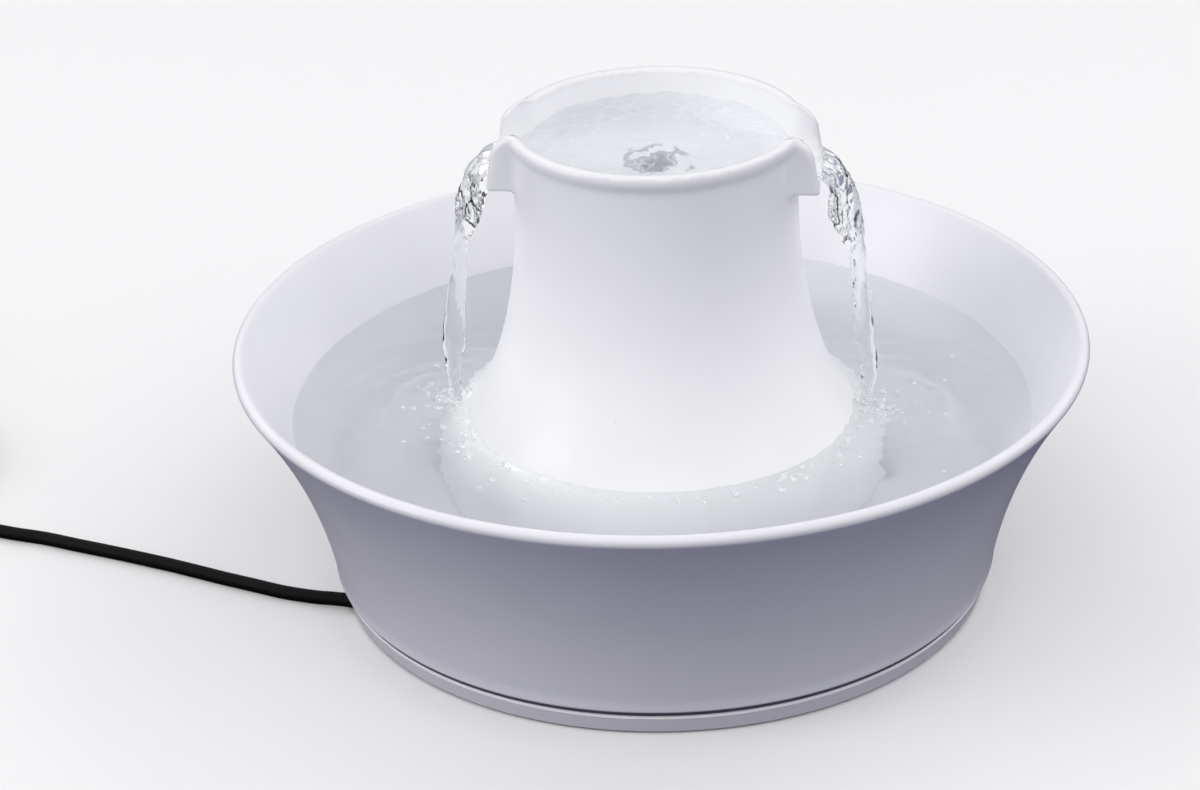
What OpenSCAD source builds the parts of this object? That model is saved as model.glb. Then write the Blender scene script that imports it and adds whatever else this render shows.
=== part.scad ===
// Pet water fountain: a flared drinking bowl with a tower that pours water from two spouts.
// Millimetres, +Z up. Origin: on the floor, under the centre of the bowl. The spouts point along X.

/* [Bowl] */
// Outer radius of the rim
bowl_rim_r = 150; // [140:1:165]
// Height of the bowl from its foot to the top of the rim
bowl_h = 85.4; // [78:0.2:95]
// Outer radius of the wall above the foot
bowl_foot_r = 119; // [112:1:124]
// Height at which the wall starts to flare, above the foot
flare_start = 4.7; // [3:0.1:8]
// Radius of the flared wall's curve
bowl_flare_r = 200; // [150:5:300]
// Thickness of the wall
bowl_wall = 4.6; // [4:0.1:6]
// Thickness of the floor
bowl_floor_t = 4.7; // [4:0.1:6]
// Depth of the recess under the floor
bowl_recess = 2; // [1.5:0.1:3]
// Width of the foot ring round the recess
foot_ring_w = 13.5; // [10:0.5:16]
// Radius between the floor and the wall inside
bowl_fillet = 12; // [8:1:16]

/* [Base tray] */
// Height of the tray's rim
tray_h = 7.3; // [6.8:0.1:9]
// Thickness of the tray's plate
tray_plate = 2.3; // [2:0.1:2.6]
// Thickness of the tray's rim
tray_wall = 4.5; // [3:0.1:6]
// How far the rim leans in towards the floor
tray_lean = 1.7; // [0:0.1:3]
// Chamfer along the seam under the bowl
seam_chamfer = 1.4; // [0.8:0.1:1.8]
// Radius of the foot's rounded lower edge
seam_round = 1.5; // [1:0.1:2]

/* [Feet] */
// Number of rubber feet
foot_n = 6; // [3:1:6]
// Radius of a foot
foot_r = 5; // [4:0.5:6]
// Height of a foot that shows under the tray
foot_show = 1; // [0.8:0.1:2]
// Depth of a foot's pocket
foot_pocket = 2; // [1.5:0.1:3]

/* [Tower] */
// Height of the tower
tower_h = 158.3; // [150:1:175]
// Outer radius of the neck
neck_r = 49; // [46:1:56]
// Thickness of the wall
tower_wall = 4; // [3.5:0.1:4.6]
// Height of the straight neck
neck_h = 27.3; // [24:0.1:32]
// How far the flare widens the tower
flare_out = 33; // [30:1:36]
// Height of the flare
flare_drop = 88; // [80:1:92]
// Steepest lean of the flare from upright
flare_lean = 45; // [40:1:48]
// Radius of the shoulder under the flare
shoulder_r = 30; // [24:1:34]
// Radius of the rolled lip's section
lip_r = 2.1; // [1.8:0.1:2.5]
// How far the lip stands out past the neck
lip_out = 2.2; // [1.8:0.1:3]
// Depth of the dish under the lip
dish_depth = 22.3; // [19:0.1:24]
// Thickness of the dish's floor
dish_t = 4; // [3.5:0.1:5]
// Radius between the dish's floor and its wall
dish_fillet = 8; // [4:1:12]
// Radius of the water inlets at the tower's foot
inlet_r = 9; // [6:0.5:11]

/* [Spouts] */
// Width of a spout
spout_w = 34; // [28:1:38]
// Thickness of a spout's cheeks
spout_wall = 4; // [3.5:0.1:5]
// Distance from the centre to a spout's lip
spout_reach = 57; // [56:0.5:62]
// Height of a spout
spout_h = 20.8; // [18:0.1:22]
// Thickness of a spout's floor
spout_floor = 4.5; // [4:0.1:5.5]
// Radius of a cheek's upper corner
spout_corner = 8; // [5:0.5:8]
// How far a cheek leans in towards its top
spout_lean = 1.8; // [0:0.1:2.5]
// Radius along the bottom of the channel
channel_round = 4; // [2:0.5:5]

/* [Pump chamber] */
// Outer radius of the chamber
chamber_r = 46; // [46:0.5:48]
// Height of the chamber
chamber_h = 36; // [36:0.5:39]
// Thickness of the chamber's wall
chamber_wall = 1.8; // [1.5:0.1:2]

/* [Pump] */
// Width of the pump
pump_w = 34; // [33:0.5:35]
// Height of the pump's body
pump_h = 29; // [29:0.5:31]
// Distance from the riser to the pump's rear
pump_rear = 38; // [38:0.5:39]
// Distance from the riser to the body's front
pump_front = 5; // [5:0.5:6]
// Radius of the pump's long edges
pump_round = 4; // [2:0.5:5]
// Height of the suction cups
cup_h = 4.2; // [3.5:0.1:4.2]
// Radius of the rotor's well
well_r = 9; // [8.8:0.1:9.2]
// Radius of the impeller's chamber
volute_r = 12.5; // [12.3:0.1:12.8]
// Radius of the rotor's shaft
shaft_r = 1.25; // [1:0.05:1.5]
// Number of impeller blades
blade_n = 6; // [4:1:8]
// Depth of the intake cover in front of the body
cover_depth = 10; // [9:0.5:11]
// Width of a slot in the intake grille
slot_w = 4; // [3:0.5:4]
// Outer radius of the outlet nozzle
nozzle_r = 6; // [5.5:0.1:6]
// Wall of the riser tube
riser_wall = 1.55; // [1.2:0.05:1.8]

/* [Filter] */
// Height of the filter basket's wall
basket_h = 11.6; // [11:0.1:13]
// Thickness of the foam disc
foam_t = 4; // [3:0.1:4.2]
// Thickness of the carbon disc
carbon_t = 4; // [3:0.1:4.2]
// Thickness of the filter lid
lid_t = 1.8; // [1.5:0.1:2.2]
// Number of slots in the basket's floor and in the lid
grille_n = 16; // [12:1:20]

/* [Lead] */
// Diameter of the power lead
cord_d = 5; // [4.4:0.1:5]
// Radius of the hole in the bowl for the lead's rubber plug
plug_hole_r = 7.1; // [6.8:0.1:7.4]
// Length of the lead's channel under the bowl
channel_len = 88; // [86:0.5:90]

/* [Adapter] */
// Length of the adapter
adapter_l = 38; // [36:1:44]
// Width of the adapter
adapter_w = 30; // [28:1:34]
// Depth of the adapter from its face to its back
adapter_d = 24; // [24:1:28]
// Wall of the adapter's shells
adapter_wall = 2; // [1.6:0.1:2.4]

/* [Hidden] */
$fn = 96;

// Clearances: a sliding fit, a push fit and a loose seat
fit = 0.05;
push = 0.1;
seat = 0.2;
eps = 0.01;

// Levels from the floor up
tray_z = foot_show;
bowl_z = tray_z + tray_h;
under_z = bowl_z + bowl_recess;
floor_z = under_z + bowl_floor_t;
rim_z = bowl_z + bowl_h;
top_z = floor_z + tower_h;
dish_z = top_z - dish_depth;
dish_under = dish_z - dish_t;

// Bowl: centres of the rim's roll, of the wall's curve and of the fillet inside
roll_r = bowl_wall / 2;
roll_c = [bowl_rim_r - roll_r, rim_z - roll_r];
wall_foot = [bowl_foot_r, bowl_z + flare_start];
wall_c = meet(wall_foot, bowl_flare_r, roll_c, bowl_flare_r + roll_r);
inner_r = bowl_flare_r + bowl_wall;
fillet_z = floor_z + bowl_fillet;
fillet_c = [wall_c[0] - sqrt(pow(inner_r + bowl_fillet, 2) - pow(wall_c[1] - fillet_z, 2)), fillet_z];

// Base tray
tray_top_r = bowl_foot_r - seam_round - 0.2;
tray_in_r = tray_top_r - tray_wall;
foot_at = tray_in_r - foot_r - 1.5;
boss_r = foot_r + 2.5;
rib_r = 89.5;
rib_w = 3;

// Tower
neck_in = neck_r - tower_wall;
flare_z = top_z - neck_h;
lip_c = [neck_r + lip_out - lip_r, top_z - lip_r];
flare_t = atan(flare_drop / flare_out * tan(flare_lean));
flare_end = flare_at(flare_t);
shoulder_c = flare_end - shoulder_r * [cos(flare_lean), sin(flare_lean)];
skirt_r = shoulder_c[0] + shoulder_r;
spout_z = top_z - spout_h;
root_in = 0.3;
spout_root = sqrt(pow(lip_c[0] - lip_r + root_in, 2) - pow(spout_w / 2, 2));

// Pump: it stands in the chamber on its suction cups
chamber_z = floor_z + chamber_wall;
chamber_top = floor_z + chamber_h;
chamber_in = chamber_r - chamber_wall;
pump_z = chamber_z + cup_h;
pump_top = pump_z + pump_h;
axis_z = pump_z + pump_h / 2;
volute_x = -5;
well_x = -20;
bush_pocket = 1.2;
bush_l = 3.8;
bush_r = 4;
cavity_x = well_x - bush_pocket - 2.2;
cavity_w = pump_w - 4.4;
cavity_h = pump_h - 5;
potting_t = 1.6;
leg_t = 3.6;
core_h = 11;
yoke_x = -34.2;
yoke_l = 6;
leg_end = volute_x - 3;
coil_wall = 2;
leg_y = cavity_w / 2 - seat - leg_t;
rotor_gap = 0.6;
magnet_r = well_r - rotor_gap;
sleeve_r = 3.5;
bore_r = shaft_r + fit;
rotor_back = well_x - bush_pocket + bush_l + 0.4;
disc_x = volute_x + 0.4;
disc_t = 1.2;
blade_t = 1.4;
impeller_r = volute_r - 1.2;
hub_front = pump_front - 1.2;
nozzle_bore = nozzle_r - 2;
nozzle_h = 8;
nozzle_neck_r = pump_front - seat;

// Intake cover on the pump's front, with the flow slider on its face
flange_t = 2.4;
cover_x = pump_front;
face_x = cover_x + cover_depth;
grille_t = 1.6;
intake_w = 26;
intake_h = 20;
slot_pitch = 2 * slot_w;
slot_h = 12;
slot_n = 3;
eye_r = 7.5;
boss_out = 4.6;
front_bush_r = 3;
front_bush_x = hub_front + 0.4;
front_bush_l = 3.8;
slider_t = 1.2;
slider_h = 15;
slider_w = intake_w - 6;
rail_lip = 1.2;
tab_l = 3;

// Riser, outlet seal and filter
riser_in = nozzle_r + fit;
riser_r = riser_in + riser_wall;
riser_top = dish_z - 1;
seal_in = riser_r + 0.08;
seal_r = seal_in + 2.4;
seal_flange = seal_r + 2.5;
seal_flange_t = 1.8;
hub_in = riser_r + 0.3;
hub_r = hub_in + 1.6;
basket_z = chamber_top;
basket_floor = 1.4;
basket_wall = 1.6;
basket_in = chamber_r - basket_wall;
spigot_r = chamber_in - seat;
spigot_h = 1.8;
disc_in = hub_r + seat;
disc_r = basket_in - seat;
foam_z = basket_z + basket_floor + seat;
carbon_z = foam_z + foam_t + seat;
lid_z = basket_z + basket_h;
lug_h = 2.6;
lug_w = 3;
lug_l = 14;
slot_in = hub_r + 4;
slot_out = basket_in - 5;

// Power lead: exit through the tray's rim, and the straight channel that leads there
cord_r = cord_d / 2;
cord_exit = [-111.5, -39, 3.3];
lead_turn = 166.5;
lead_dir = [cos(lead_turn), sin(lead_turn)];
plug_at = [cord_exit[0], cord_exit[1]] - channel_len * lead_dir;
plug_r = plug_hole_r - push;
plug_flange = plug_r + 2.4;
plug_flange_t = 1.8;
plug_neck_h = 6;
elbow_w = 11;
elbow_l = 14;
elbow_z = 0.5;
gland_x = pump_rear + 5;

// The lead inside: round the pump chamber, then down into the rubber plug
pump_route = [
    [-gland_x - push, 0, axis_z], [-48, 0, axis_z], [-54.5, -1.8, axis_z], [-59.5, -6.5, axis_z],
    [-61.8, -14, axis_z], [-61.5, -22, axis_z], [-58.5, -30.5, axis_z], [-54, -38.5, axis_z],
    [-48, -45.5, axis_z - 1], [-41.5, -50.8, axis_z - 2.5], [-35.5, -54.8, axis_z - 5],
    [-30.5, -57.6, axis_z - 8], [-27.3, -59.1, axis_z - 11.5],
    [plug_at[0], plug_at[1], floor_z + plug_neck_h]
];

// The free lead, along the floor from the exit to the coil
cord_route = [
    cord_exit, [-117, -37.8, 3], [-122.5, -36.6, 2.6], [-134, -33.8, 2.5], [-146, -29.4, 2.5],
    [-158, -25, 2.5], [-170, -20.2, 2.5], [-182, -15.6, 2.5], [-194.5, -11.2, 2.5],
    [-206.5, -7.2, 2.5], [-219, -3.2, 2.5], [-231, 0.8, 2.5], [-243, 3.6, 2.5], [-250, 5.6, 2.5],
    [-266, 10.4, 2.5], [-282, 15.1, 2.6], [-298, 19.9, 2.9], [-314.3, 24.7, 3.1]
];
// The lead's end, from the coil's top turn to the adapter
tail_route = [
    [-332.5, 56, 13.4], [-332.5, 66, 13.45], [-332.5, 75, 13.3], [-332.5, 82, 12.6],
    [-332.5, 88, 11.8], [-332.5, 91, 11.55], [-332.5, 93.9, 11.5]
];
tail_end = tail_route[len(tail_route) - 1];
tube_sides = 10;
tube_steps = 2;

// Coil of the unseen length: three turns wide, three turns high, held by a tie
coil_at = [-305, 56];
coil_pitch = cord_d + 0.1;
coil_mid_r = 27.5;
coil_wide = 3 * coil_pitch;
coil_z = 0.6;
coil_h = 3 * coil_pitch - 0.1;
coil_round = 2;
tie_t = 1.2;
tie_w = 6;
tie_turn = 30;

// Adapter beside the coil, lying on its side, with its blades pointing to the right
adapter_y = 116;
adapter_x = -345;
adapter_split = adapter_d * 0.75;
adapter_round = 4;
relief_l = 22;
relief_r = 5;
blade_l = 17;
blade_w = 6.3;
blade_thick = 1.5;
blade_gap = 12.7;
iron_l = 26;
iron_w = 20;
iron_d = 9;
iron_leg = 4.5;
winding_t = 1.8;

// ---- geometry helpers ----

// Point at radius r and angle a round c, and a run of such points
function polar(c, r, a) = [c[0] + r * cos(a), c[1] + r * sin(a)];
function arc(c, r, a0, a1, n) = [for (i = [0:n]) polar(c, r, a0 + (a1 - a0) * i / n)];
function aim(c, p) = atan2(p[1] - c[1], p[0] - c[0]);

// The point at distance ra from a and rb from b, to the right of the way from a to b
function meet(a, ra, b, rb) =
    let (
        v = b - a,
        d = norm(v),
        along = (ra * ra - rb * rb + d * d) / (2 * d),
        across = sqrt(ra * ra - along * along)
    )
    a + along * v / d + across * [v[1], -v[0]] / d;

// Outer face of the tower's flare, a quarter of an ellipse, and its inward normal
function flare_at(t) = [neck_r + flare_out * (1 - cos(t)), flare_z - flare_drop * sin(t)];
function flare_in(t) =
    let (n = [-flare_drop * cos(t), -flare_out * sin(t)])
    flare_at(t) + tower_wall * n / norm(n);

// A smooth line through hand-chosen points, k steps to a stretch
function spline(p, k) = [
    for (i = [0:len(p) - 2], j = [0:k - 1])
        let (
            a = p[max(i - 1, 0)], b = p[i], c = p[i + 1], d = p[min(i + 2, len(p) - 1)],
            t = j / k
        )
        0.5 * (2 * b + (c - a) * t + (2 * a - 5 * b + 4 * c - d) * t * t
            + (3 * b - a - 3 * c + d) * t * t * t),
    p[len(p) - 1]
];

module tube(route, r) {
    line = spline(route, tube_steps);
    last = len(line) - 1;
    up = [0.4, 0.4, 0.82];
    rings = [
        for (i = [0:last])
            let (
                way = line[min(i + 1, last)] - line[max(i - 1, 0)],
                side = cross(way, up) / norm(cross(way, up)),
                rise = cross(side, way) / norm(way)
            )
            for (k = [0:tube_sides - 1])
                let (a = 360 * k / tube_sides)
                line[i] + r * (cos(a) * side + sin(a) * rise)
    ];
    walls = [
        for (i = [0:last - 1], k = [0:tube_sides - 1])
            let (a = i * tube_sides, b = (k + 1) % tube_sides)
            [a + k, a + b, a + tube_sides + b, a + tube_sides + k]
    ];
    front = [for (k = [tube_sides - 1:-1:0]) k];
    back = [for (k = [0:tube_sides - 1]) last * tube_sides + k];
    polyhedron(rings, concat(walls, [front], [back]), convexity = 4);
}

module round_rect(w, h, r) {
    square([w - 2 * r, h], center = true);
    square([w, h - 2 * r], center = true);
    for (x = [-1, 1], y = [-1, 1])
        translate([x * (w / 2 - r), y * (h / 2 - r)])
            circle(r);
}

// A flat shape drawn in Y and Z, pushed along +X from x
module along_x(x, l) {
    translate([x, 0, 0])
        rotate([90, 0, 90])
            linear_extrude(l)
                children();
}

// A round bar, a round tube, and a bar along X on the pump's axis
module bar(z, h, r) {
    translate([0, 0, z])
        cylinder(h = h, r = r);
}

module pipe(z, h, r_out, r_in) {
    difference() {
        bar(z, h, r_out);
        bar(z - 1, h + 2, r_in);
    }
}

module axle(x, l, r) {
    translate([x, 0, axis_z])
        rotate([0, 90, 0])
            cylinder(h = l, r = r);
}

module axle_pipe(x, l, r_out, r_in) {
    difference() {
        axle(x, l, r_out);
        axle(x - 1, l + 2, r_in);
    }
}

// A block given by its low corner and its size
module block(low, size) {
    translate(low)
        cube(size);
}

// A block that is centred in Y and Z on the pump's axis
module pump_block(x, l, w, h) {
    block([x, -w / 2, axis_z - h / 2], [l, w, h]);
}

// Places what is drawn along +X at the rubber plug, towards the lead's exit
module at_plug() {
    translate([plug_at[0], plug_at[1], 0])
        rotate([0, 0, lead_turn])
            children();
}

// ---- bowl, tray and feet ----

module bowl() {
    lean = aim(wall_c, roll_c);
    color("whitesmoke")
        difference() {
            rotate_extrude()
                polygon(concat(
                    [[0, under_z], [bowl_foot_r - foot_ring_w, under_z]],
                    [[bowl_foot_r - foot_ring_w, bowl_z]],
                    arc([bowl_foot_r - seam_round, bowl_z + seam_round], seam_round, -90, 0, 4),
                    arc(wall_c, bowl_flare_r, aim(wall_c, wall_foot), lean, 14),
                    arc(roll_c, roll_r, lean - 170, lean - 10, 12),
                    arc(wall_c, inner_r, lean, aim(wall_c, fillet_c), 14),
                    arc(fillet_c, bowl_fillet, aim(fillet_c, wall_c) - 15, -90, 5),
                    [[0, floor_z]]
                ));
            translate([plug_at[0], plug_at[1], 0])
                bar(under_z - 1, bowl_floor_t + 2, plug_hole_r);
        }
}

module base_tray() {
    plate_z = bowl_z - tray_plate;
    color("gainsboro")
        difference() {
            union() {
                rotate_extrude()
                    polygon([
                        [0, plate_z], [tray_in_r, plate_z], [tray_in_r, tray_z],
                        [tray_top_r - tray_lean, tray_z], [tray_top_r, bowl_z - seam_chamfer],
                        [tray_top_r - seam_chamfer, bowl_z], [0, bowl_z]
                    ]);
                pipe(tray_z, tray_h - eps, rib_r + rib_w / 2, rib_r - rib_w / 2);
                for (i = [0:foot_n - 1])
                    rotate([0, 0, 360 * i / foot_n])
                        translate([foot_at, 0, 0])
                            bar(tray_z, tray_h - eps, boss_r);
            }
            for (i = [0:foot_n - 1])
                rotate([0, 0, 360 * i / foot_n])
                    translate([foot_at, 0, 0])
                        bar(tray_z - 1, foot_pocket + 1, foot_r + push);
            at_plug() {
                block([-8, -elbow_w / 2 - 0.6, -1], [elbow_l + 9, elbow_w + 1.2, bowl_z + 2]);
                block([0, -cord_r - 0.8, -1], [channel_len + 12, cord_d + 1.6, plate_z + 1]);
            }
        }
}

module rubber_feet() {
    color("dimgray")
        for (i = [0:foot_n - 1])
            rotate([0, 0, 360 * i / foot_n])
                translate([foot_at, 0, 0])
                    bar(0, foot_show + foot_pocket, foot_r);
}

module floor_bung() {
    color("dimgray") {
        translate([plug_at[0], plug_at[1], 0]) {
            bar(under_z - 1, bowl_floor_t + 1, plug_r);
            bar(floor_z, plug_flange_t, plug_flange);
            translate([0, 0, floor_z + plug_flange_t - eps])
                cylinder(h = plug_neck_h - plug_flange_t + eps, r1 = plug_r - 1, r2 = cord_r + 1);
        }
        at_plug()
            block([-7, -elbow_w / 2, elbow_z], [elbow_l + 7, elbow_w, under_z - elbow_z]);
    }
}

// ---- tower ----

module tower_shell() {
    steps = 12;
    rotate_extrude()
        polygon(concat(
            [[skirt_r - tower_wall, floor_z], [skirt_r - 1, floor_z], [skirt_r, floor_z + 1]],
            arc(shoulder_c, shoulder_r, 0, flare_lean, 6),
            [for (i = [steps - 1:-1:0]) flare_at(flare_t * i / steps)],
            arc(lip_c, lip_r, -90, 180, 12),
            arc([neck_in - dish_fillet, dish_z + dish_fillet], dish_fillet, 0, -90, 6),
            [[0, dish_z], [0, dish_under], [neck_in, dish_under]],
            [for (i = [0:steps - 1]) flare_in(flare_t * i / steps)],
            arc(shoulder_c, shoulder_r - tower_wall, flare_lean, 0, 6)
        ));
}

// Outline of a spout from the side: its lip leans in and rounds over at the top
module spout_side() {
    corner = [spout_reach - spout_lean - spout_corner, top_z - spout_corner];
    polygon(concat(
        [[spout_root, spout_z], [spout_reach, spout_z]],
        arc(corner, spout_corner, 8, 90, 8),
        [[spout_root, top_z]]
    ));
}

// A spout seen along its channel: two cheeks with round tops on a floor
module spout_front() {
    tip = spout_wall / 2;
    translate([-spout_w / 2, spout_z])
        square([spout_w, spout_h - tip]);
    for (side = [-1, 1])
        translate([side * (spout_w / 2 - tip), top_z - tip])
            circle(tip);
}

module channel_front() {
    w = spout_w - 2 * spout_wall;
    low = spout_z + spout_floor;
    translate([-w / 2, low + channel_round])
        square([w, spout_h]);
    translate([-w / 2 + channel_round, low])
        square([w - 2 * channel_round, spout_h]);
    for (side = [-1, 1])
        translate([side * (w / 2 - channel_round), low + channel_round])
            circle(channel_round);
}

module tower() {
    color("white")
        difference() {
            union() {
                tower_shell();
                for (turn = [0, 180])
                    rotate([0, 0, turn])
                        intersection() {
                            along_x(spout_root, spout_reach)
                                spout_front();
                            rotate([90, 0, 0])
                                linear_extrude(spout_w + 2, center = true)
                                    spout_side();
                        }
            }
            for (turn = [0, 180])
                rotate([0, 0, turn])
                    along_x(neck_in - 7, spout_reach)
                        channel_front();
            for (turn = [0, 90])
                rotate([0, 0, turn])
                    translate([0, 0, floor_z])
                        rotate([0, 90, 0])
                            cylinder(h = 2 * skirt_r + 10, r = inlet_r, center = true);
            bar(dish_under - 1, dish_t + 2, seal_r + fit);
        }
}

// ---- riser and seal ----

module outlet_seal() {
    color("gray")
        difference() {
            union() {
                bar(dish_under - eps, dish_t + eps, seal_r);
                bar(dish_under - seal_flange_t, seal_flange_t, seal_flange);
            }
            bar(dish_under - 5, dish_t + 10, seal_in);
        }
}

module riser_tube() {
    color("lightsteelblue")
        pipe(pump_top, riser_top - pump_top, riser_r, riser_in);
}

// ---- pump ----

module pump_chamber() {
    color("lightgray")
        difference() {
            bar(floor_z, chamber_h, chamber_r);
            bar(chamber_z, chamber_h, chamber_in);
            block([-chamber_r - 2, -cord_r - 0.6, axis_z], [chamber_wall + 6, cord_d + 1.2, chamber_h]);
            axle(-chamber_r - 2, chamber_wall + 6, cord_r + 0.6);
        }
}

module suction_cups() {
    color("darkgray")
        for (x = [-pump_rear + 8, pump_front - 6], side = [-1, 1])
            translate([x, side * (pump_w / 2 - 6), 0]) {
                bar(chamber_z, 1, 6);
                bar(chamber_z + 1 - eps, cup_h - 2 + 2 * eps, 3);
                bar(pump_z - 1, 1, 4);
            }
}

module pump_body() {
    color("darkslategray")
        difference() {
            union() {
                along_x(-pump_rear, pump_rear + pump_front)
                    translate([0, axis_z])
                        round_rect(pump_w, pump_h, pump_round);
                bar(pump_top - 1, 1 + seat + eps, nozzle_neck_r);
                bar(pump_top + seat, nozzle_h - seat, nozzle_r);
            }
            axle(well_x, pump_rear, well_r);
            axle(well_x - bush_pocket, pump_rear, bush_r + fit);
            axle(volute_x, pump_rear, volute_r);
            pump_block(-pump_rear - 1, pump_rear + 1 + cavity_x, cavity_w, cavity_h);
            for (side = [-1, 1])
                translate([0, side * (leg_y + leg_t / 2), 0])
                    pump_block(-pump_rear - 1, pump_rear + 1 + leg_end + seat,
                        leg_t + 2 * seat, core_h + 2 * seat);
            bar(axis_z, pump_h, nozzle_bore);
        }
}

module stator_core() {
    color("silver") {
        pump_block(yoke_x, yoke_l, 2 * (leg_y + leg_t), core_h);
        for (side = [-1, 1])
            translate([0, side * (leg_y + leg_t / 2), 0])
                pump_block(yoke_x, leg_end - yoke_x, leg_t, core_h);
    }
}

module stator_coil() {
    color("peru")
        difference() {
            pump_block(yoke_x - coil_wall, yoke_l + 2 * coil_wall, 2 * leg_y - 1, cavity_h - 4);
            pump_block(yoke_x - push, yoke_l + 2 * push, pump_w, core_h + 2 * push);
        }
}

module motor_potting() {
    color("black")
        difference() {
            pump_block(-pump_rear, potting_t, cavity_w, cavity_h);
            axle(-pump_rear - 1, potting_t + 2, 3.5 + fit);
        }
}

module lead_gland() {
    color("dimgray") {
        axle(-pump_rear - eps, potting_t + eps, 3.5);
        translate([-gland_x, 0, axis_z])
            rotate([0, 90, 0])
                cylinder(h = gland_x - pump_rear, r1 = cord_r + 0.8, r2 = 5);
    }
}

module rotor_shaft() {
    color("ivory")
        axle(well_x - bush_pocket, front_bush_x + front_bush_l - well_x + bush_pocket, shaft_r);
}

module rear_bush() {
    color("gray")
        axle_pipe(well_x - bush_pocket, bush_l, bush_r, shaft_r + 0.02);
}

module front_bush() {
    color("gray")
        axle_pipe(front_bush_x, front_bush_l, front_bush_r, shaft_r + fit);
}

module rotor_magnet() {
    color("dimgray")
        axle_pipe(rotor_back, disc_x - rotor_back - 0.6, magnet_r, sleeve_r + 0.02);
}

module impeller() {
    color("steelblue")
        difference() {
            union() {
                axle(rotor_back, hub_front - rotor_back, sleeve_r);
                axle(disc_x, disc_t, impeller_r);
                intersection() {
                    for (i = [0:blade_n - 1])
                        translate([0, 0, axis_z])
                            rotate([360 * i / blade_n, 0, 0])
                                block([disc_x, -blade_t / 2, 0], [hub_front - disc_x, blade_t, volute_r]);
                    axle(disc_x, hub_front - disc_x, impeller_r);
                }
            }
            axle(rotor_back - 1, hub_front - rotor_back + 2, bore_r);
        }
}

// Open box in front of the eye, with the intake slots in its face
module intake_box() {
    difference() {
        pump_block(cover_x + flange_t - eps, cover_depth - flange_t + eps, intake_w, intake_h);
        pump_block(cover_x + flange_t, cover_depth - flange_t - grille_t,
            intake_w - 2 * grille_t, intake_h - 2 * grille_t);
        slots(face_x - grille_t - 1, grille_t + 2);
    }
}

module slots(x, l) {
    for (i = [0:slot_n - 1])
        translate([0, (i - (slot_n - 1) / 2) * slot_pitch, 0])
            pump_block(x, l, slot_w, slot_h);
}

// A rail on the intake's face, with the lip that holds the slider
module rail(side) {
    low = slider_h / 2 + seat;
    high = intake_h / 2;
    groove = slider_t + 2 * push;
    translate([0, 0, side * (low + high) / 2])
        pump_block(face_x - eps, groove + rail_lip, intake_w, high - low);
    translate([0, 0, side * (low - 1 + high) / 2])
        pump_block(face_x + groove, rail_lip, intake_w, high - low + 1);
}

// Ways through the flange round the bush's boss, between three spokes
module eye() {
    difference() {
        axle(cover_x - 1, flange_t + 2, eye_r);
        axle(cover_x - 2, flange_t + 4, boss_out);
        for (turn = [0, 120, 240])
            translate([0, 0, axis_z])
                rotate([turn, 0, 0])
                    block([cover_x - 2, -1, 0], [flange_t + 4, 2, eye_r + 1]);
    }
}

module volute_cover() {
    bush_end = front_bush_x + front_bush_l;
    color("slategray")
        difference() {
            union() {
                difference() {
                    along_x(cover_x, flange_t)
                        translate([0, axis_z])
                            round_rect(pump_w, pump_h, pump_round);
                    eye();
                }
                intake_box();
                rail(-1);
                rail(1);
                axle(cover_x, bush_end + 0.8 - cover_x, boss_out);
            }
            axle(cover_x - 1, bush_end + 1 - cover_x, front_bush_r + 0.02);
        }
}

module flow_slider() {
    color("gold")
        union() {
            difference() {
                pump_block(face_x + push, slider_t, slider_w, slider_h);
                slots(face_x - 1, slider_t + 3);
            }
            translate([0, slot_w, 0])
                pump_block(face_x + push + slider_t - eps, tab_l, 2.4, 5);
        }
}

// ---- lead ----

module pump_lead() {
    color("black")
        tube(pump_route, cord_r);
}

module channel_lead() {
    color("black")
        translate([0, 0, cord_exit[2]])
            at_plug()
                rotate([0, 90, 0])
                    translate([0, 0, elbow_l])
                        cylinder(h = channel_len - elbow_l, r = cord_r);
}

module power_cord() {
    color("black")
        tube(cord_route, cord_r);
}

module cord_tail() {
    color("black")
        tube(tail_route, cord_r);
}

module cord_coil() {
    color("black")
        translate([coil_at[0], coil_at[1], 0])
            rotate_extrude()
                translate([coil_mid_r, coil_z + coil_h / 2])
                    round_rect(coil_wide, coil_h, coil_round);
}

module cord_tie() {
    color("dimgray")
        translate([coil_at[0], coil_at[1], 0])
            rotate([0, 0, tie_turn])
                translate([coil_mid_r, 0, 0]) {
                    difference() {
                        block([-coil_wide / 2 - seat - tie_t, -tie_w / 2, 0],
                            [coil_wide + 2 * seat + 2 * tie_t, tie_w, coil_z + coil_h + tie_t]);
                        block([-coil_wide / 2 - seat, -tie_w, coil_z],
                            [coil_wide + 2 * seat, 2 * tie_w, coil_h]);
                    }
                    block([-2, -tie_w / 2, coil_z + coil_h + tie_t - eps], [4, tie_w, 1.6]);
                }
}

// ---- filter ----

// Radial slots through a plate
module grille(z, h) {
    for (i = [0:grille_n - 1])
        rotate([0, 0, 360 * i / grille_n])
            block([slot_in, -1.5, z], [slot_out - slot_in, 3, h]);
}

module filter_basket() {
    color("lightgray")
        difference() {
            union() {
                bar(basket_z, basket_floor, chamber_r);
                pipe(basket_z, basket_h, chamber_r, basket_in);
                pipe(basket_z, basket_h, hub_r, hub_in);
                pipe(basket_z - spigot_h, spigot_h + eps, spigot_r, spigot_r - 1.6);
            }
            bar(basket_z - 5, basket_floor + 10, hub_in);
            grille(basket_z - 1, basket_floor + 2);
        }
}

module foam_disc() {
    color("dimgray")
        pipe(foam_z, foam_t, disc_r, disc_in);
}

module carbon_disc() {
    color("ghostwhite")
        pipe(carbon_z, carbon_t, disc_r, disc_in);
}

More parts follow.
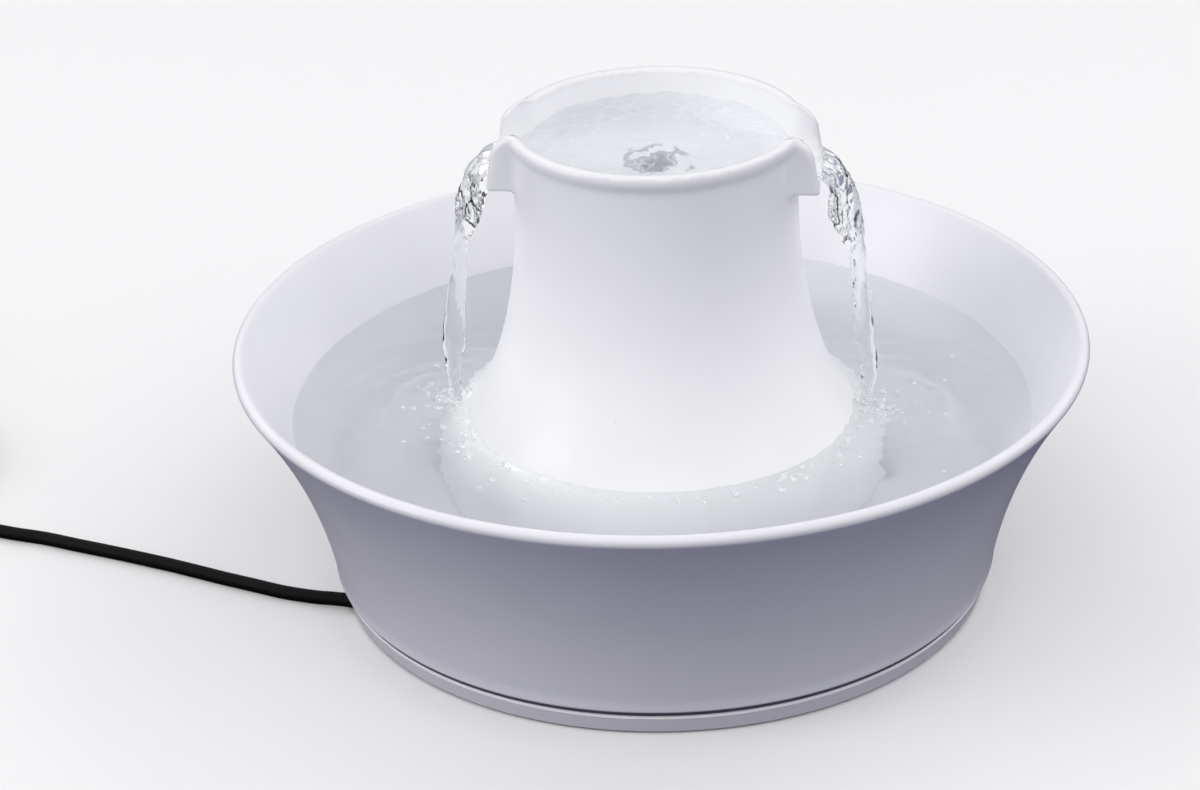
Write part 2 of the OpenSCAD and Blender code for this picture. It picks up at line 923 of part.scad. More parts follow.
module filter_lid() {
    rib_h = lid_z - carbon_z - carbon_t - seat;
    color("lightgray") {
        difference() {
            union() {
                bar(lid_z, lid_t, chamber_r);
                pipe(lid_z - rib_h, rib_h + eps, disc_r, disc_r - 1.5);
            }
            bar(lid_z - 5, lid_t + 10, hub_in);
            grille(lid_z - 1, lid_t + 2);
        }
        for (side = [-1, 1])
            block([-lug_l / 2, side * (hub_r + 1.9) - lug_w / 2, lid_z + lid_t - eps],
                [lug_l, lug_w, lug_h]);
    }
}

// ---- adapter ----

module adapter_shell(x, l) {
    along_x(x, l)
        translate([adapter_y + adapter_l / 2, adapter_w / 2])
            round_rect(adapter_l, adapter_w, adapter_round);
}

module adapter_body() {
    color("black")
        difference() {
            adapter_shell(adapter_x, adapter_split);
            along_x(adapter_x + adapter_wall, adapter_d)
                translate([adapter_y + adapter_l / 2, adapter_w / 2])
                    round_rect(adapter_l - 2 * adapter_wall, adapter_w - 2 * adapter_wall,
                        adapter_round - adapter_wall / 2);
        }
}

module adapter_cover() {
    inner_l = adapter_l - 2 * adapter_wall - 2 * push;
    inner_w = adapter_w - 2 * adapter_wall - 2 * push;
    back_t = adapter_d - adapter_split;
    color("black")
        difference() {
            union() {
                adapter_shell(adapter_x + adapter_split, back_t);
                along_x(adapter_x + adapter_split - 2, 2 + eps)
                    translate([adapter_y + adapter_l / 2, adapter_w / 2])
                        round_rect(inner_l, inner_w, adapter_round - adapter_wall / 2);
            }
            along_x(adapter_x + adapter_split - 3, 2.9)
                translate([adapter_y + adapter_l / 2, adapter_w / 2])
                    round_rect(inner_l - 3, inner_w - 3, 1.5);
            blades(push);
        }
}

// The two flat blades, and with grow the slots that hold them
module blades(grow) {
    for (side = [-1, 1])
        block([
            adapter_x + adapter_d - 4 - grow,
            adapter_y + adapter_l / 2 - blade_w / 2 - grow,
            adapter_w / 2 + side * blade_gap / 2 - blade_thick / 2 - grow
        ], [blade_l + 4 + 2 * grow, blade_w + 2 * grow, blade_thick + 2 * grow]);
}

module adapter_blades() {
    color("silver")
        blades(0);
}

module adapter_relief() {
    color("black")
        translate([tail_end[0], adapter_y - relief_l, tail_end[2]])
            rotate([-90, 0, 0])
                cylinder(h = relief_l, r1 = cord_r + 0.9, r2 = relief_r);
}

// A block centred in Y and Z inside the adapter, from its front wall on
module iron_block(x, size) {
    block([
        adapter_x + adapter_wall + x,
        adapter_y + adapter_l / 2 - size[1] / 2,
        adapter_w / 2 - size[2] / 2
    ], size);
}

module adapter_core() {
    window = [iron_d + 2, (iron_l - 3 * iron_leg) / 2, iron_w - 2 * iron_leg];
    color("silver")
        difference() {
            iron_block(winding_t, [iron_d, iron_l, iron_w]);
            for (side = [-1, 1])
                translate([0, side * (iron_leg + window[1]) / 2, 0])
                    iron_block(winding_t - 1, window);
        }
}

module adapter_winding() {
    wide = iron_l - 2 * iron_leg - 2 * push;
    high = iron_w - 2 * iron_leg - 2 * push;
    color("peru")
        difference() {
            iron_block(0, [iron_d + 2 * winding_t, wide, high]);
            iron_block(winding_t - push, [iron_d + 2 * push, iron_leg + 2 * push, iron_w]);
        }
}

bowl();
base_tray();
rubber_feet();
floor_bung();
tower();
outlet_seal();
riser_tube();
pump_chamber();
suction_cups();
pump_body();
stator_core();
stator_coil();
motor_potting();
rotor_shaft();
rear_bush();
rotor_magnet();
impeller();
volute_cover();
front_bush();
flow_slider();
lead_gland();
pump_lead();
channel_lead();
filter_basket();
foam_disc();
carbon_disc();
filter_lid();
power_cord();
cord_coil();
cord_tail();
cord_tie();
adapter_body();
adapter_cover();
adapter_blades();
adapter_relief();
adapter_core();
adapter_winding();
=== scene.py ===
"""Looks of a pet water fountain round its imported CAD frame. Metres, +Z up, spouts along X."""
import math
import random

import bmesh
import bpy
import numpy as np
from mathutils import Matrix, Vector, noise


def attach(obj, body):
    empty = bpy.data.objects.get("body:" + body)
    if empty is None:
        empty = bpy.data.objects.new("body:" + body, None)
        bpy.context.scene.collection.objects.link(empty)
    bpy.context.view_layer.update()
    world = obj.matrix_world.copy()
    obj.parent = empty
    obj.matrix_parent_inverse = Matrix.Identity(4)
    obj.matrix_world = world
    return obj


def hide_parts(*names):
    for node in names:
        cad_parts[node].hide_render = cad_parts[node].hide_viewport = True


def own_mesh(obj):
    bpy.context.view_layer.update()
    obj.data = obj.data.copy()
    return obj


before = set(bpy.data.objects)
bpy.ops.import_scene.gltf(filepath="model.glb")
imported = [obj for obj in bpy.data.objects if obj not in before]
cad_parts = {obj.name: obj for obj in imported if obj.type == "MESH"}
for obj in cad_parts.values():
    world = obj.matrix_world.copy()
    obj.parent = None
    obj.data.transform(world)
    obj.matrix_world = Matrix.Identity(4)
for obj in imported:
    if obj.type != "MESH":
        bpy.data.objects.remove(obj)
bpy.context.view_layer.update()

MM = 0.001
SCENE = bpy.context.scene
SEED = 7

# Levels and sizes, as in the CAD source
BOWL_Z = 8.3 * MM
UNDER_Z = 10.3 * MM
FLOOR_Z = 15 * MM
RIM_Z = 93.7 * MM
RIM_R = 150 * MM
FOOT_R = 119 * MM
FOOT_RING_W = 13.5 * MM
FLARE_START = 4.7 * MM
FLARE_R = 200 * MM
BOWL_WALL = 4.6 * MM
BOWL_FILLET = 12 * MM
SEAM_ROUND = 1.3 * MM
SEAM_GAP = 1.4 * MM
SEAM_DEEP = 1.5 * MM
RECESS_CHAMFER = 1 * MM
FOOT_CHAMFER = 0.4 * MM
FLOOR_RINGS = [r * MM for r in (100, 90, 80, 60, 40, 20)]
SAME_POINT = 0.02 * MM

TOP_Z = 173.3 * MM
NECK_R = 49 * MM
TOWER_WALL = 4 * MM
NECK_H = 27.3 * MM
FLARE_OUT = 33 * MM
FLARE_DROP = 88 * MM
SHOULDER_R = 30 * MM
LIP_R = 2.1 * MM
LIP_OUT = 2.2 * MM
DISH_Z = 151 * MM
DISH_T = 4 * MM
DISH_FILLET = 8 * MM
INLET_R = 9 * MM
SEAL_R = 10.05 * MM

SPOUT_HALF = 17 * MM
CHANNEL_HALF = 13 * MM
SPOUT_REACH = 57 * MM
SPOUT_Z = 152.5 * MM
CHANNEL_Z = 157 * MM
SPOUT_CORNER = 8 * MM
SPOUT_LEAN = math.radians(8)

# Water: the level in the bowl and in the dish
BOWL_WATER_Z = 65.3 * MM
DISH_WATER_Z = 164.6 * MM
LANDING_X = 73.6 * MM

# Camera
CAMERA_AT = Vector((0.0988, -1.0378, 0.5983))
CAMERA_LOOK = Vector((-0.102934, 0.885572, -0.452953))
CAMERA_ROLL = math.radians(-1.854)
CAMERA_LENS = 98.73
CAMERA_SENSOR = 36


# ---- shapes ----

def arc(centre, radius, start, end, steps):
    """Points on a circle round centre, from one angle to another, in degrees."""
    turns = [math.radians(start + (end - start) * i / steps) for i in range(steps + 1)]
    return [(centre[0] + radius * math.cos(t), centre[1] + radius * math.sin(t)) for t in turns]


def aim(centre, point):
    """The direction from centre to point, in degrees."""
    return math.degrees(math.atan2(point[1] - centre[1], point[0] - centre[0]))


def meet(a, ra, b, rb):
    """The point at distance ra from a and rb from b, to the right of the way from a to b."""
    a, b = Vector(a), Vector(b)
    way = b - a
    along = (ra ** 2 - rb ** 2 + way.length_squared) / (2 * way.length)
    across = math.sqrt(ra ** 2 - along ** 2)
    return a + along * way.normalized() + across * Vector((way.y, -way.x)).normalized()


def new_object(name, data):
    obj = bpy.data.objects.new(name, data)
    SCENE.collection.objects.link(obj)
    return obj


def new_mesh(name, points, faces):
    data = bpy.data.meshes.new(name)
    data.from_pydata([tuple(p) for p in points], [], faces)
    data.shade_smooth()
    return new_object(name, data)


def lathe(name, profile, turns=256):
    """A solid of revolution from an outline whose first and last points lie on the axis."""
    points, rings = [], []
    for r, z in profile:
        if r == 0:
            rings.append([len(points)] * turns)
            points.append((0, 0, z))
            continue
        rings.append(list(range(len(points), len(points) + turns)))
        for i in range(turns):
            t = 2 * math.pi * i / turns
            points.append((r * math.cos(t), r * math.sin(t), z))
    faces = []
    for low, high in zip(rings, rings[1:]):
        for i in range(turns):
            j = (i + 1) % turns
            corners = [low[i], low[j], high[j], high[i]]
            faces.append(list(dict.fromkeys(corners)))
    return new_mesh(name, points, faces)


def without_repeats(profile):
    """The profile without points that fall on the one before."""
    kept = [profile[0]]
    for point in profile[1:]:
        if math.dist(point, kept[-1]) > SAME_POINT:
            kept.append(point)
    return kept


# ---- bowl ----

def bowl_curves():
    """Centres of the bowl's wall curve, its rolled rim and the fillet inside."""
    roll = BOWL_WALL / 2
    rim = (RIM_R - roll, RIM_Z - roll)
    wall = meet((FOOT_R, BOWL_Z + FLARE_START), FLARE_R, rim, FLARE_R + roll)
    rise = FLOOR_Z + BOWL_FILLET
    inner = FLARE_R + BOWL_WALL + BOWL_FILLET
    fillet = (wall[0] - math.sqrt(inner ** 2 - (wall[1] - rise) ** 2), rise)
    return wall, rim, fillet


WALL_C, RIM_C, FILLET_C = bowl_curves()


def bowl_inner_r(z):
    """Radius of the bowl's inner face at height z."""
    return WALL_C[0] - math.sqrt((FLARE_R + BOWL_WALL) ** 2 - (z - WALL_C[1]) ** 2)


def make_bowl():
    """The bowl, with a narrow gap between its wall's lower edge and the tray."""
    lean = aim(WALL_C, RIM_C)
    foot = (FOOT_R, BOWL_Z + FLARE_START)
    seam = (FOOT_R - SEAM_ROUND, BOWL_Z + SEAM_GAP + SEAM_ROUND)
    recess = FOOT_R - FOOT_RING_W
    profile = [(0, UNDER_Z), (recess - RECESS_CHAMFER, UNDER_Z), (recess, UNDER_Z - RECESS_CHAMFER)]
    profile += [(recess, BOWL_Z + FOOT_CHAMFER), (recess + FOOT_CHAMFER, BOWL_Z)]
    profile += [(FOOT_R - SEAM_DEEP, BOWL_Z), (FOOT_R - SEAM_DEEP, BOWL_Z + SEAM_GAP)]
    profile += arc(seam, SEAM_ROUND, -90, 0, steps=8)
    profile += arc(WALL_C, FLARE_R, aim(WALL_C, foot), lean, steps=36)
    profile += arc(RIM_C, BOWL_WALL / 2, lean - 180, lean, steps=20)
    profile += arc(WALL_C, FLARE_R + BOWL_WALL, lean, aim(WALL_C, FILLET_C), steps=36)
    profile += arc(FILLET_C, BOWL_FILLET, aim(FILLET_C, WALL_C), -90, steps=12)
    profile += [(r, FLOOR_Z) for r in FLOOR_RINGS]
    profile += [(0, FLOOR_Z)]
    return lathe("bowl_glazed", without_repeats(profile))


# ---- tower ----

FLARE_Z = TOP_Z - NECK_H
# How far round its ellipse the flare goes before the shoulder takes over
FLARE_T = math.radians(69.443)
FLARE_END = (NECK_R + FLARE_OUT * (1 - math.cos(FLARE_T)), FLARE_Z - FLARE_DROP * math.sin(FLARE_T))
SHOULDER = (FLARE_END[0] - SHOULDER_R * math.sqrt(0.5), FLARE_END[1] - SHOULDER_R * math.sqrt(0.5))
SKIRT_R = SHOULDER[0] + SHOULDER_R
LIP_AT = (NECK_R + LIP_OUT - LIP_R, TOP_Z - LIP_R)
# Rounded edges and fillets of the tower
FOOT_EDGE = 0.8 * MM
LIP_BLEND = 3.5 * MM
HOLLOW_CORNER = 3 * MM
DISH_EDGE = 0.3 * MM
SPOUT_UNDER_EDGE = 1.2 * MM
SPOUT_SIDE_EDGE = 2 * MM
SPOUT_BLEND = 2.5 * MM
CHANNEL_CORNER = 4 * MM
CHANNEL_EDGE = 1.6 * MM
MOUTH_BLEND = 9 * MM
MOUTH_EDGE = 1.2 * MM
SEAL_EDGE = 0.4 * MM
INLET_EDGE = 0.6 * MM
# Where the spouts' blocks and their channels start inside the tower
SPOUT_ROOT_X = 44.2 * MM
CHANNEL_ROOT_X = 30 * MM
# How the mesh is drawn onto the surface: its grain, the rounds, how far a point moves in each
TOWER_VOXEL = 1.45 * MM
FIT_ROUNDS = 7
FIT_REACH = 0.5 * MM
LEAST_SLOPE = 0.2
WELD = 0.001 * MM


def round_max(a, b, r):
    """Field of what two solids share, with their convex edge rounded."""
    a, b = a + r, b + r
    return np.minimum(np.maximum(a, b), 0) - r + np.hypot(np.maximum(a, 0), np.maximum(b, 0))


def round_min(a, b, r):
    """Field of two solids joined, with a fillet between them."""
    return -round_max(-a, -b, r)


def flare_gap(r, z):
    """Distance from the tower's outer face: neck, elliptic flare, shoulder and skirt.

    The nearest point of the ellipse is found in a few steps, from the one at the same height.
    """
    t = np.arcsin(np.clip((FLARE_Z - z) / FLARE_DROP, 0, 0.99))
    for _ in range(5):
        dx = r - NECK_R - FLARE_OUT * (1 - np.cos(t))
        dz = z - FLARE_Z + FLARE_DROP * np.sin(t)
        tx, tz = FLARE_OUT * np.sin(t), -FLARE_DROP * np.cos(t)
        t = np.clip(t + (dx * tx + dz * tz) / (tx ** 2 + tz ** 2), 0, FLARE_T)
    dx = r - NECK_R - FLARE_OUT * (1 - np.cos(t))
    dz = z - FLARE_Z + FLARE_DROP * np.sin(t)
    nx, nz = FLARE_DROP * np.cos(t), FLARE_OUT * np.sin(t)
    flare = (dx * nx + dz * nz) / np.hypot(nx, nz)
    shoulder = np.hypot(r - SHOULDER[0], z - SHOULDER[1]) - SHOULDER_R
    low = np.where(z < SHOULDER[1], r - SKIRT_R, shoulder)
    return np.where(z - SHOULDER[1] > r - SHOULDER[0], flare, low)


def tower_field(p):
    """Signed distance, nearly, from the tower's surface; negative inside the ceramic."""
    x, y, z = np.abs(p[:, 0]), np.abs(p[:, 1]), p[:, 2]
    r = np.hypot(x, y)
    side = flare_gap(r, z)
    solid = round_max(side, FLOOR_Z - z, FOOT_EDGE)
    solid = np.maximum(solid, z - LIP_AT[1])
    bead = np.hypot(r - LIP_AT[0], z - LIP_AT[1]) - LIP_R
    solid = round_min(solid, bead, LIP_BLEND)
    hollow = round_max(side + TOWER_WALL, z - DISH_Z + DISH_T, HOLLOW_CORNER)
    solid = round_max(solid, -hollow, FOOT_EDGE)
    rise = np.clip((z - DISH_Z - DISH_FILLET) / (LIP_AT[1] - DISH_Z - DISH_FILLET), 0, 1)
    dish_r = NECK_R - TOWER_WALL + (LIP_AT[0] - LIP_R - NECK_R + TOWER_WALL) * rise
    dish = round_max(r - dish_r, DISH_Z - z, DISH_FILLET)
    solid = round_max(solid, -dish, DISH_EDGE)
    front = (x - SPOUT_REACH) * math.cos(SPOUT_LEAN) + (z - SPOUT_Z) * math.sin(SPOUT_LEAN)
    block = round_max(front, z - TOP_Z, SPOUT_CORNER)
    block = round_max(block, SPOUT_Z - z, SPOUT_UNDER_EDGE)
    block = round_max(block, y - SPOUT_HALF, SPOUT_SIDE_EDGE)
    block = np.maximum(block, SPOUT_ROOT_X - x)
    solid = round_min(solid, block, SPOUT_BLEND)
    channel = round_max(y - CHANNEL_HALF, CHANNEL_Z - z, CHANNEL_CORNER)
    channel = np.maximum(channel, CHANNEL_ROOT_X - x)
    solid = round_max(solid, -channel, CHANNEL_EDGE)
    mouth = round_min(dish, channel, MOUTH_BLEND) + MOUTH_EDGE
    solid = round_max(solid, -mouth, MOUTH_EDGE)
    solid = round_max(solid, SEAL_R - r, SEAL_EDGE)
    foot = z - FLOOR_Z
    inlets = np.minimum(np.hypot(x, foot), np.hypot(y, foot)) - INLET_R
    return round_max(solid, -inlets, INLET_EDGE)


def slope_of(field, p, step=0.02 * MM):
    """Gradient of a field at many points, from its values one step to either side."""
    out = np.empty_like(p)
    for axis in range(3):
        shift = np.zeros(3)
        shift[axis] = step
        out[:, axis] = (field(p + shift) - field(p - shift)) / (2 * step)
    return out


def vertices_of(data):
    """The mesh's points as an array with one row each."""
    flat = np.empty(len(data.vertices) * 3)
    data.vertices.foreach_get("co", flat)
    return flat.reshape(-1, 3)


def baked(obj):
    """The object's mesh with its modifiers applied."""
    depsgraph = bpy.context.evaluated_depsgraph_get()
    return bpy.data.meshes.new_from_object(obj.evaluated_get(depsgraph))


def make_tower():
    """The CAD tower remeshed evenly, then drawn onto its smooth glazed surface."""
    rough = new_object("tower_rough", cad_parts["tower"].data.copy())
    weld = bmesh.new()
    weld.from_mesh(rough.data)
    bmesh.ops.remove_doubles(weld, verts=weld.verts, dist=WELD)
    weld.to_mesh(rough.data)
    weld.free()
    remesh = rough.modifiers.new("even", "REMESH")
    remesh.mode = "VOXEL"
    remesh.voxel_size = TOWER_VOXEL
    data = baked(rough)
    bpy.data.objects.remove(rough)
    data.name = "tower_glazed"
    data.materials.clear()
    p = vertices_of(data)
    for _ in range(FIT_ROUNDS):
        slope = slope_of(tower_field, p)
        size = np.maximum(np.linalg.norm(slope, axis=1), LEAST_SLOPE)
        move = np.clip(tower_field(p) / size, -FIT_REACH, FIT_REACH)
        p -= (move / size)[:, None] * slope
    p[:, 2] = np.minimum(p[:, 2], TOP_Z)
    data.vertices.foreach_set("co", p.ravel())
    data.shade_smooth()
    normals = slope_of(tower_field, p, step=0.2 * MM)
    normals /= np.maximum(np.linalg.norm(normals, axis=1), 1e-9)[:, None]
    data.normals_split_custom_set_from_vertices(normals.tolist())
    data.update()
    return new_object("tower_glazed", data)


# ---- water ----

NOISE_SHIFT = Vector((3.7, 1.3, 5.1))

# The bowl's surface: rings round each landing with a dip in their middle, all dying away outward
RING_HEIGHT = 0.75 * MM
RING_LENGTH = 5.2 * MM
RING_GROWTH = 0.06
RING_WOBBLE = 0.9 * MM
WOBBLE_SIZE = 14 * MM
RING_FADE = 26 * MM
DIP_DEPTH = 0.9 * MM
DIP_R = 4.5 * MM
CHOP_HEIGHT = 0.8 * MM
CHOP_SIZE = 8 * MM
SWELL_HEIGHT = 0.3 * MM
SWELL_SIZE = 20 * MM
# The edges where water creeps up the ceramic: how high and how wide
WALL_CREEP = (0.9 * MM, 1.3 * MM)
TOWER_CREEP = (0.8 * MM, 1.1 * MM)
DISH_CREEP = (0.5 * MM, 1.2 * MM)
TOWER_WATERLINE_R = 68.8 * MM
DISH_WATERLINE_R = 45.8 * MM
# The bowl's surface as rings of points: a coarse middle under the tower, then fine ones
COARSE_RINGS = [r * MM for r in (8, 20, 34, 48, 58)]
FINE_FROM = 64 * MM
FINE_STEP = 0.95 * MM
RING_POINTS = 576
WATER_INTO_WALL = 0.5 * MM

# The dish's surface: a swell over the outlet, waves, and the run down into both channels
POOL_EDGE = 50 * MM
POOL_END_Z = 161.2 * MM
POOL_SETTLE = 9 * MM
POOL_RUN_X = 34 * MM
RUN_CURVE = 1.6
RIM_CALM = 0.35
CALM_FROM_R = 47 * MM
CALM_WIDTH = 12 * MM
POOL_WAVE_HEIGHT = 1.4 * MM
POOL_WAVE_SIZE = 15 * MM
POOL_RIPPLE_HEIGHT = 1.1 * MM
POOL_RIPPLE_SIZE = 6 * MM
RIPPLE_SHIFT = 0.3
WELL_HEIGHT = 1.3 * MM
WELL_R = 13 * MM
POOL_STEP = 0.8 * MM
POOL_COLUMNS = 125
POOL_WIDTH = 92 * MM
POOL_R = 46.6 * MM
POOL_CHANNEL_HALF = 13.9 * MM


def clamped(t):
    """The value, kept within 0 and 1."""
    return min(1, max(0, t))


def ripple(x, y, size, deep=2):
    """Smooth noise over the plane, from about -1 to 1; size is a wave's length."""
    return noise.fractal(Vector((x / size, y / size, 0)) + NOISE_SHIFT, 0.6, 2.1, deep)


def creep(size, away):
    """How far water has crept up at a distance from the ceramic."""
    height, width = size
    return height * math.exp(-abs(away) / width)


def bowl_water_height(x, y):
    """Height of the bowl's surface over a place."""
    r = math.hypot(x, y)
    z = BOWL_WATER_Z
    for side in (-1, 1):
        away = math.hypot(x - side * LANDING_X, y)
        wobble = RING_WOBBLE * ripple(x, y, WOBBLE_SIZE)
        phase = 2 * math.pi * (away + wobble) / (RING_LENGTH + RING_GROWTH * away)
        z += RING_HEIGHT * math.exp(-away / RING_FADE) * math.cos(phase)
        z -= DIP_DEPTH * math.exp(-(away / DIP_R) ** 2)
        z += CHOP_HEIGHT * math.exp(-away / RING_FADE) * ripple(x, y, CHOP_SIZE, 3)
    z += SWELL_HEIGHT * ripple(x, y, SWELL_SIZE, 3)
    z += creep(WALL_CREEP, bowl_inner_r(BOWL_WATER_Z) - r)
    return z + creep(TOWER_CREEP, r - TOWER_WATERLINE_R)


def make_bowl_water():
    """The bowl's surface, which ends a little way inside the ceramic wall."""
    wall = bowl_inner_r(BOWL_WATER_Z) + WATER_INTO_WALL
    count = int((wall - FINE_FROM) / FINE_STEP)
    radii = COARSE_RINGS + [FINE_FROM + (wall - FINE_FROM) * i / count for i in range(count + 1)]
    points = [(0, 0, BOWL_WATER_Z)]
    faces = []
    for row, r in enumerate(radii):
        for i in range(RING_POINTS):
            t = 2 * math.pi * i / RING_POINTS
            x, y = r * math.cos(t), r * math.sin(t)
            points.append((x, y, bowl_water_height(x, y)))
            j = (i + 1) % RING_POINTS
            base = 1 + row * RING_POINTS
            inner = base - RING_POINTS
            if row == 0:
                faces.append((0, base + i, base + j))
            else:
                faces.append((inner + i, base + i, base + j, inner + j))
    return new_mesh("bowl_water", points, faces)


def pool_height(x, y):
    """Surface of the water in the dish: it wells up in the middle and runs off by both spouts."""
    r = math.hypot(x, y)
    lively = clamped((POOL_EDGE - abs(x)) / POOL_SETTLE)
    lively *= RIM_CALM + (1 - RIM_CALM) * clamped((CALM_FROM_R - r) / CALM_WIDTH)
    z = POOL_WAVE_HEIGHT * ripple(x, y, POOL_WAVE_SIZE, 3)
    z += POOL_RIPPLE_HEIGHT * ripple(x + RIPPLE_SHIFT, y, POOL_RIPPLE_SIZE)
    z += WELL_HEIGHT * math.exp(-(r / WELL_R) ** 2)
    run = clamped((abs(x) - POOL_RUN_X) / (POOL_EDGE - POOL_RUN_X))
    level = DISH_WATER_Z + (POOL_END_Z - DISH_WATER_Z) * run ** RUN_CURVE
    return level + z * lively + creep(DISH_CREEP, DISH_WATERLINE_R - r) * lively


def make_pool():
    """The dish's surface as a fine grid over the dish and both channels."""
    across = int(POOL_WIDTH / POOL_STEP) + 1
    index, points, faces = {}, [], []
    for i in range(POOL_COLUMNS + 1):
        x = -POOL_EDGE + 2 * POOL_EDGE * i / POOL_COLUMNS
        for j in range(across + 1):
            y = (j - across / 2) * POOL_STEP
            in_dish = math.hypot(x, y) < POOL_R
            in_channel = abs(y) < POOL_CHANNEL_HALF
            if in_dish or in_channel:
                index[i, j] = len(points)
                points.append((x, y, pool_height(x, y)))
    for i, j in index:
        corners = [(i, j), (i + 1, j), (i + 1, j + 1), (i, j + 1)]
        if all(c in index for c in corners):
            faces.append([index[c] for c in corners])
    return new_mesh("dish_water", points, faces)


# Each stream's line from its channel down to the bowl, in millimetres:
# x, z, half its thickness, half its width, and how far its sides curl inward
STREAMS = {
    "left": [
        (50, 159.0, 2.3, 13.4, 0), (53.5, 159.1, 2.3, 13.2, 0), (57, 158.6, 2.2, 12.9, 0.3),
        (60.6, 156.8, 2.2, 12.4, 1.2), (63.8, 152.8, 2.4, 11.8, 4), (66, 148, 2.7, 11, 6.4),
        (67.4, 142, 3.2, 9.6, 7), (68.4, 135, 3.8, 7.8, 4.8), (69, 127, 3.9, 6, 1.6),
        (69.8, 118, 3.3, 4.6, 0.6), (71.4, 108, 3.2, 3.6, 0), (72.4, 98, 3.6, 2.8, 0),
        (73, 89, 4.1, 2.6, 0), (73.9, 79, 2.9, 3, 0), (74, 71, 1.9, 2.2, 0),
        (73.9, 67, 2.1, 2.2, 0), (73.8, 63.4, 2.6, 2.8, 0)
    ],
    "right": [
        (50, 159.0, 2.3, 13.4, 0), (53.5, 159.1, 2.3, 13.2, 0), (57, 158.6, 2.2, 12.9, 0.3),
        (60.7, 156.8, 2.3, 12.4, 1.2), (64, 152.8, 2.4, 11.8, 4), (66.3, 148, 2.7, 11, 6.6),
        (68, 142, 3.2, 9.7, 7.2), (69, 135, 3.8, 7.8, 5), (69.6, 127, 3.8, 5.8, 1.6),
        (70, 118, 3.3, 4.4, 0.6), (70.8, 108, 3, 3.4, 0), (71.6, 98, 3.2, 2.7, 0),
        (72.6, 88, 3, 3, 0), (73.6, 79, 3, 2.4, 0), (73.2, 71, 1.7, 2, 0),
        (73.1, 67, 2, 2.2, 0), (73, 63.4, 2.6, 2.8, 0)
    ],
}
# Over these heights a stream starts to fall freely, and then draws in to a rope
FALL_TOP = 155 * MM
FALL_LENGTH = 25 * MM
ROPE_TOP = 128 * MM
ROPE_LENGTH = 20 * MM
# In its channel a stream is a slab with square corners; past the channel's mouth it gets rough
SLAB_TO_X = 57 * MM
SLAB_FADE = 6 * MM
SLAB_POWER = 0.3
ROUGH_FROM_X = 51 * MM
ROUGH_FADE = 8 * MM
ROPE_CALM = 0.2
SHEET_THINNING = 0.5
# The rope sways and turns on its way down: radians, and radians per metre
SWAY = 0.35
SWAY_RATE = 95
SWAY_FROM_Z = 60 * MM
TURN_RATE = 4.5
TURN_FROM_Z = 118 * MM
# Creases: their size across, along and through the sheet, and their height in millimetres
CREASE_SIZE = (5 * MM, 9 * MM, 6 * MM)
BROAD_CREASE = 0.75
FINE_CREASE = 0.3
STREAM_STEPS = 10
STREAM_AROUND = 72


def power(value, exponent):
    """A power of the value's size, with its sign kept."""
    return math.copysign(abs(value) ** exponent, value)


def make_stream(name, side, rows):
    """A clear sheet that leaves its channel flat and thin, and draws in to a twisting rope."""
    line = smooth_line([[v * MM for v in row] for row in rows], STREAM_STEPS)
    across, along, through = CREASE_SIZE
    points, faces = [], []
    for k, row in enumerate(line):
        x, z, half_t, half_w, curl = row
        ahead, behind = line[min(k + 1, len(line) - 1)], line[max(k - 1, 0)]
        way_x, way_z = Vector((ahead[0] - behind[0], ahead[1] - behind[1])).normalized()
        fall = clamped((FALL_TOP - z) / FALL_LENGTH)
        rope = clamped((ROPE_TOP - z) / ROPE_LENGTH)
        slab = clamped((SLAB_TO_X - x) / SLAB_FADE)
        corner = SLAB_POWER + (1 - SLAB_POWER) * (1 - slab)
        thin = SHEET_THINNING * fall * (1 - rope)
        turn = TURN_RATE * (TURN_FROM_Z - z)
        twist = rope * (SWAY * math.sin((z - SWAY_FROM_Z) * SWAY_RATE) + turn)
        rough = clamped((x - ROUGH_FROM_X) / ROUGH_FADE) * (1 - ROPE_CALM * rope)
        for i in range(STREAM_AROUND):
            t = 2 * math.pi * i / STREAM_AROUND
            u = power(math.sin(t), corner)
            out = half_t * power(math.cos(t), corner) * (1 - thin * (1 - u ** 2)) - curl * u * u
            wide = half_w * u
            out, wide = (out * math.cos(twist) - wide * math.sin(twist),
                         out * math.sin(twist) + wide * math.cos(twist))
            spot = Vector((wide / across, z / along, side * 2 + out / through)) + NOISE_SHIFT
            broad = noise.fractal(spot, 0.6, 2, 3)
            fine = noise.fractal(spot * 1.6, 0.7, 2, 2)
            out += rough * MM * (BROAD_CREASE * broad + FINE_CREASE * fine)
            points.append((side * (x - way_z * out), wide, z + way_x * out))
    for k in range(len(line) - 1):
        for i in range(STREAM_AROUND):
            a = k * STREAM_AROUND + i
            b = k * STREAM_AROUND + (i + 1) % STREAM_AROUND
            loop = (a, b, b + STREAM_AROUND, a + STREAM_AROUND)
            faces.append(loop if side < 0 else loop[::-1])
    return new_mesh(name, points, faces)


LANDING_BUBBLES = 90
LANDING_FROM = 4 * MM
LANDING_SPREAD = 11 * MM
FOOT_BUBBLES = 44
FOOT_FROM_R = 69.6 * MM
FOOT_SPREAD = 4 * MM
# Along the foot they lie this many degrees from the front, give or take
FOOT_ANGLE = (46, 20)
BUBBLES_WITHIN = (69.4 * MM, 126 * MM)
# Their radius in millimetres, their height as a share of their width, and the share of their
# radius by which they rise
BUBBLE_SIZES = (0.35, 1.3)
BUBBLE_SQUEEZE = (0.6, 0.95)
BUBBLE_FLOAT = 0.15


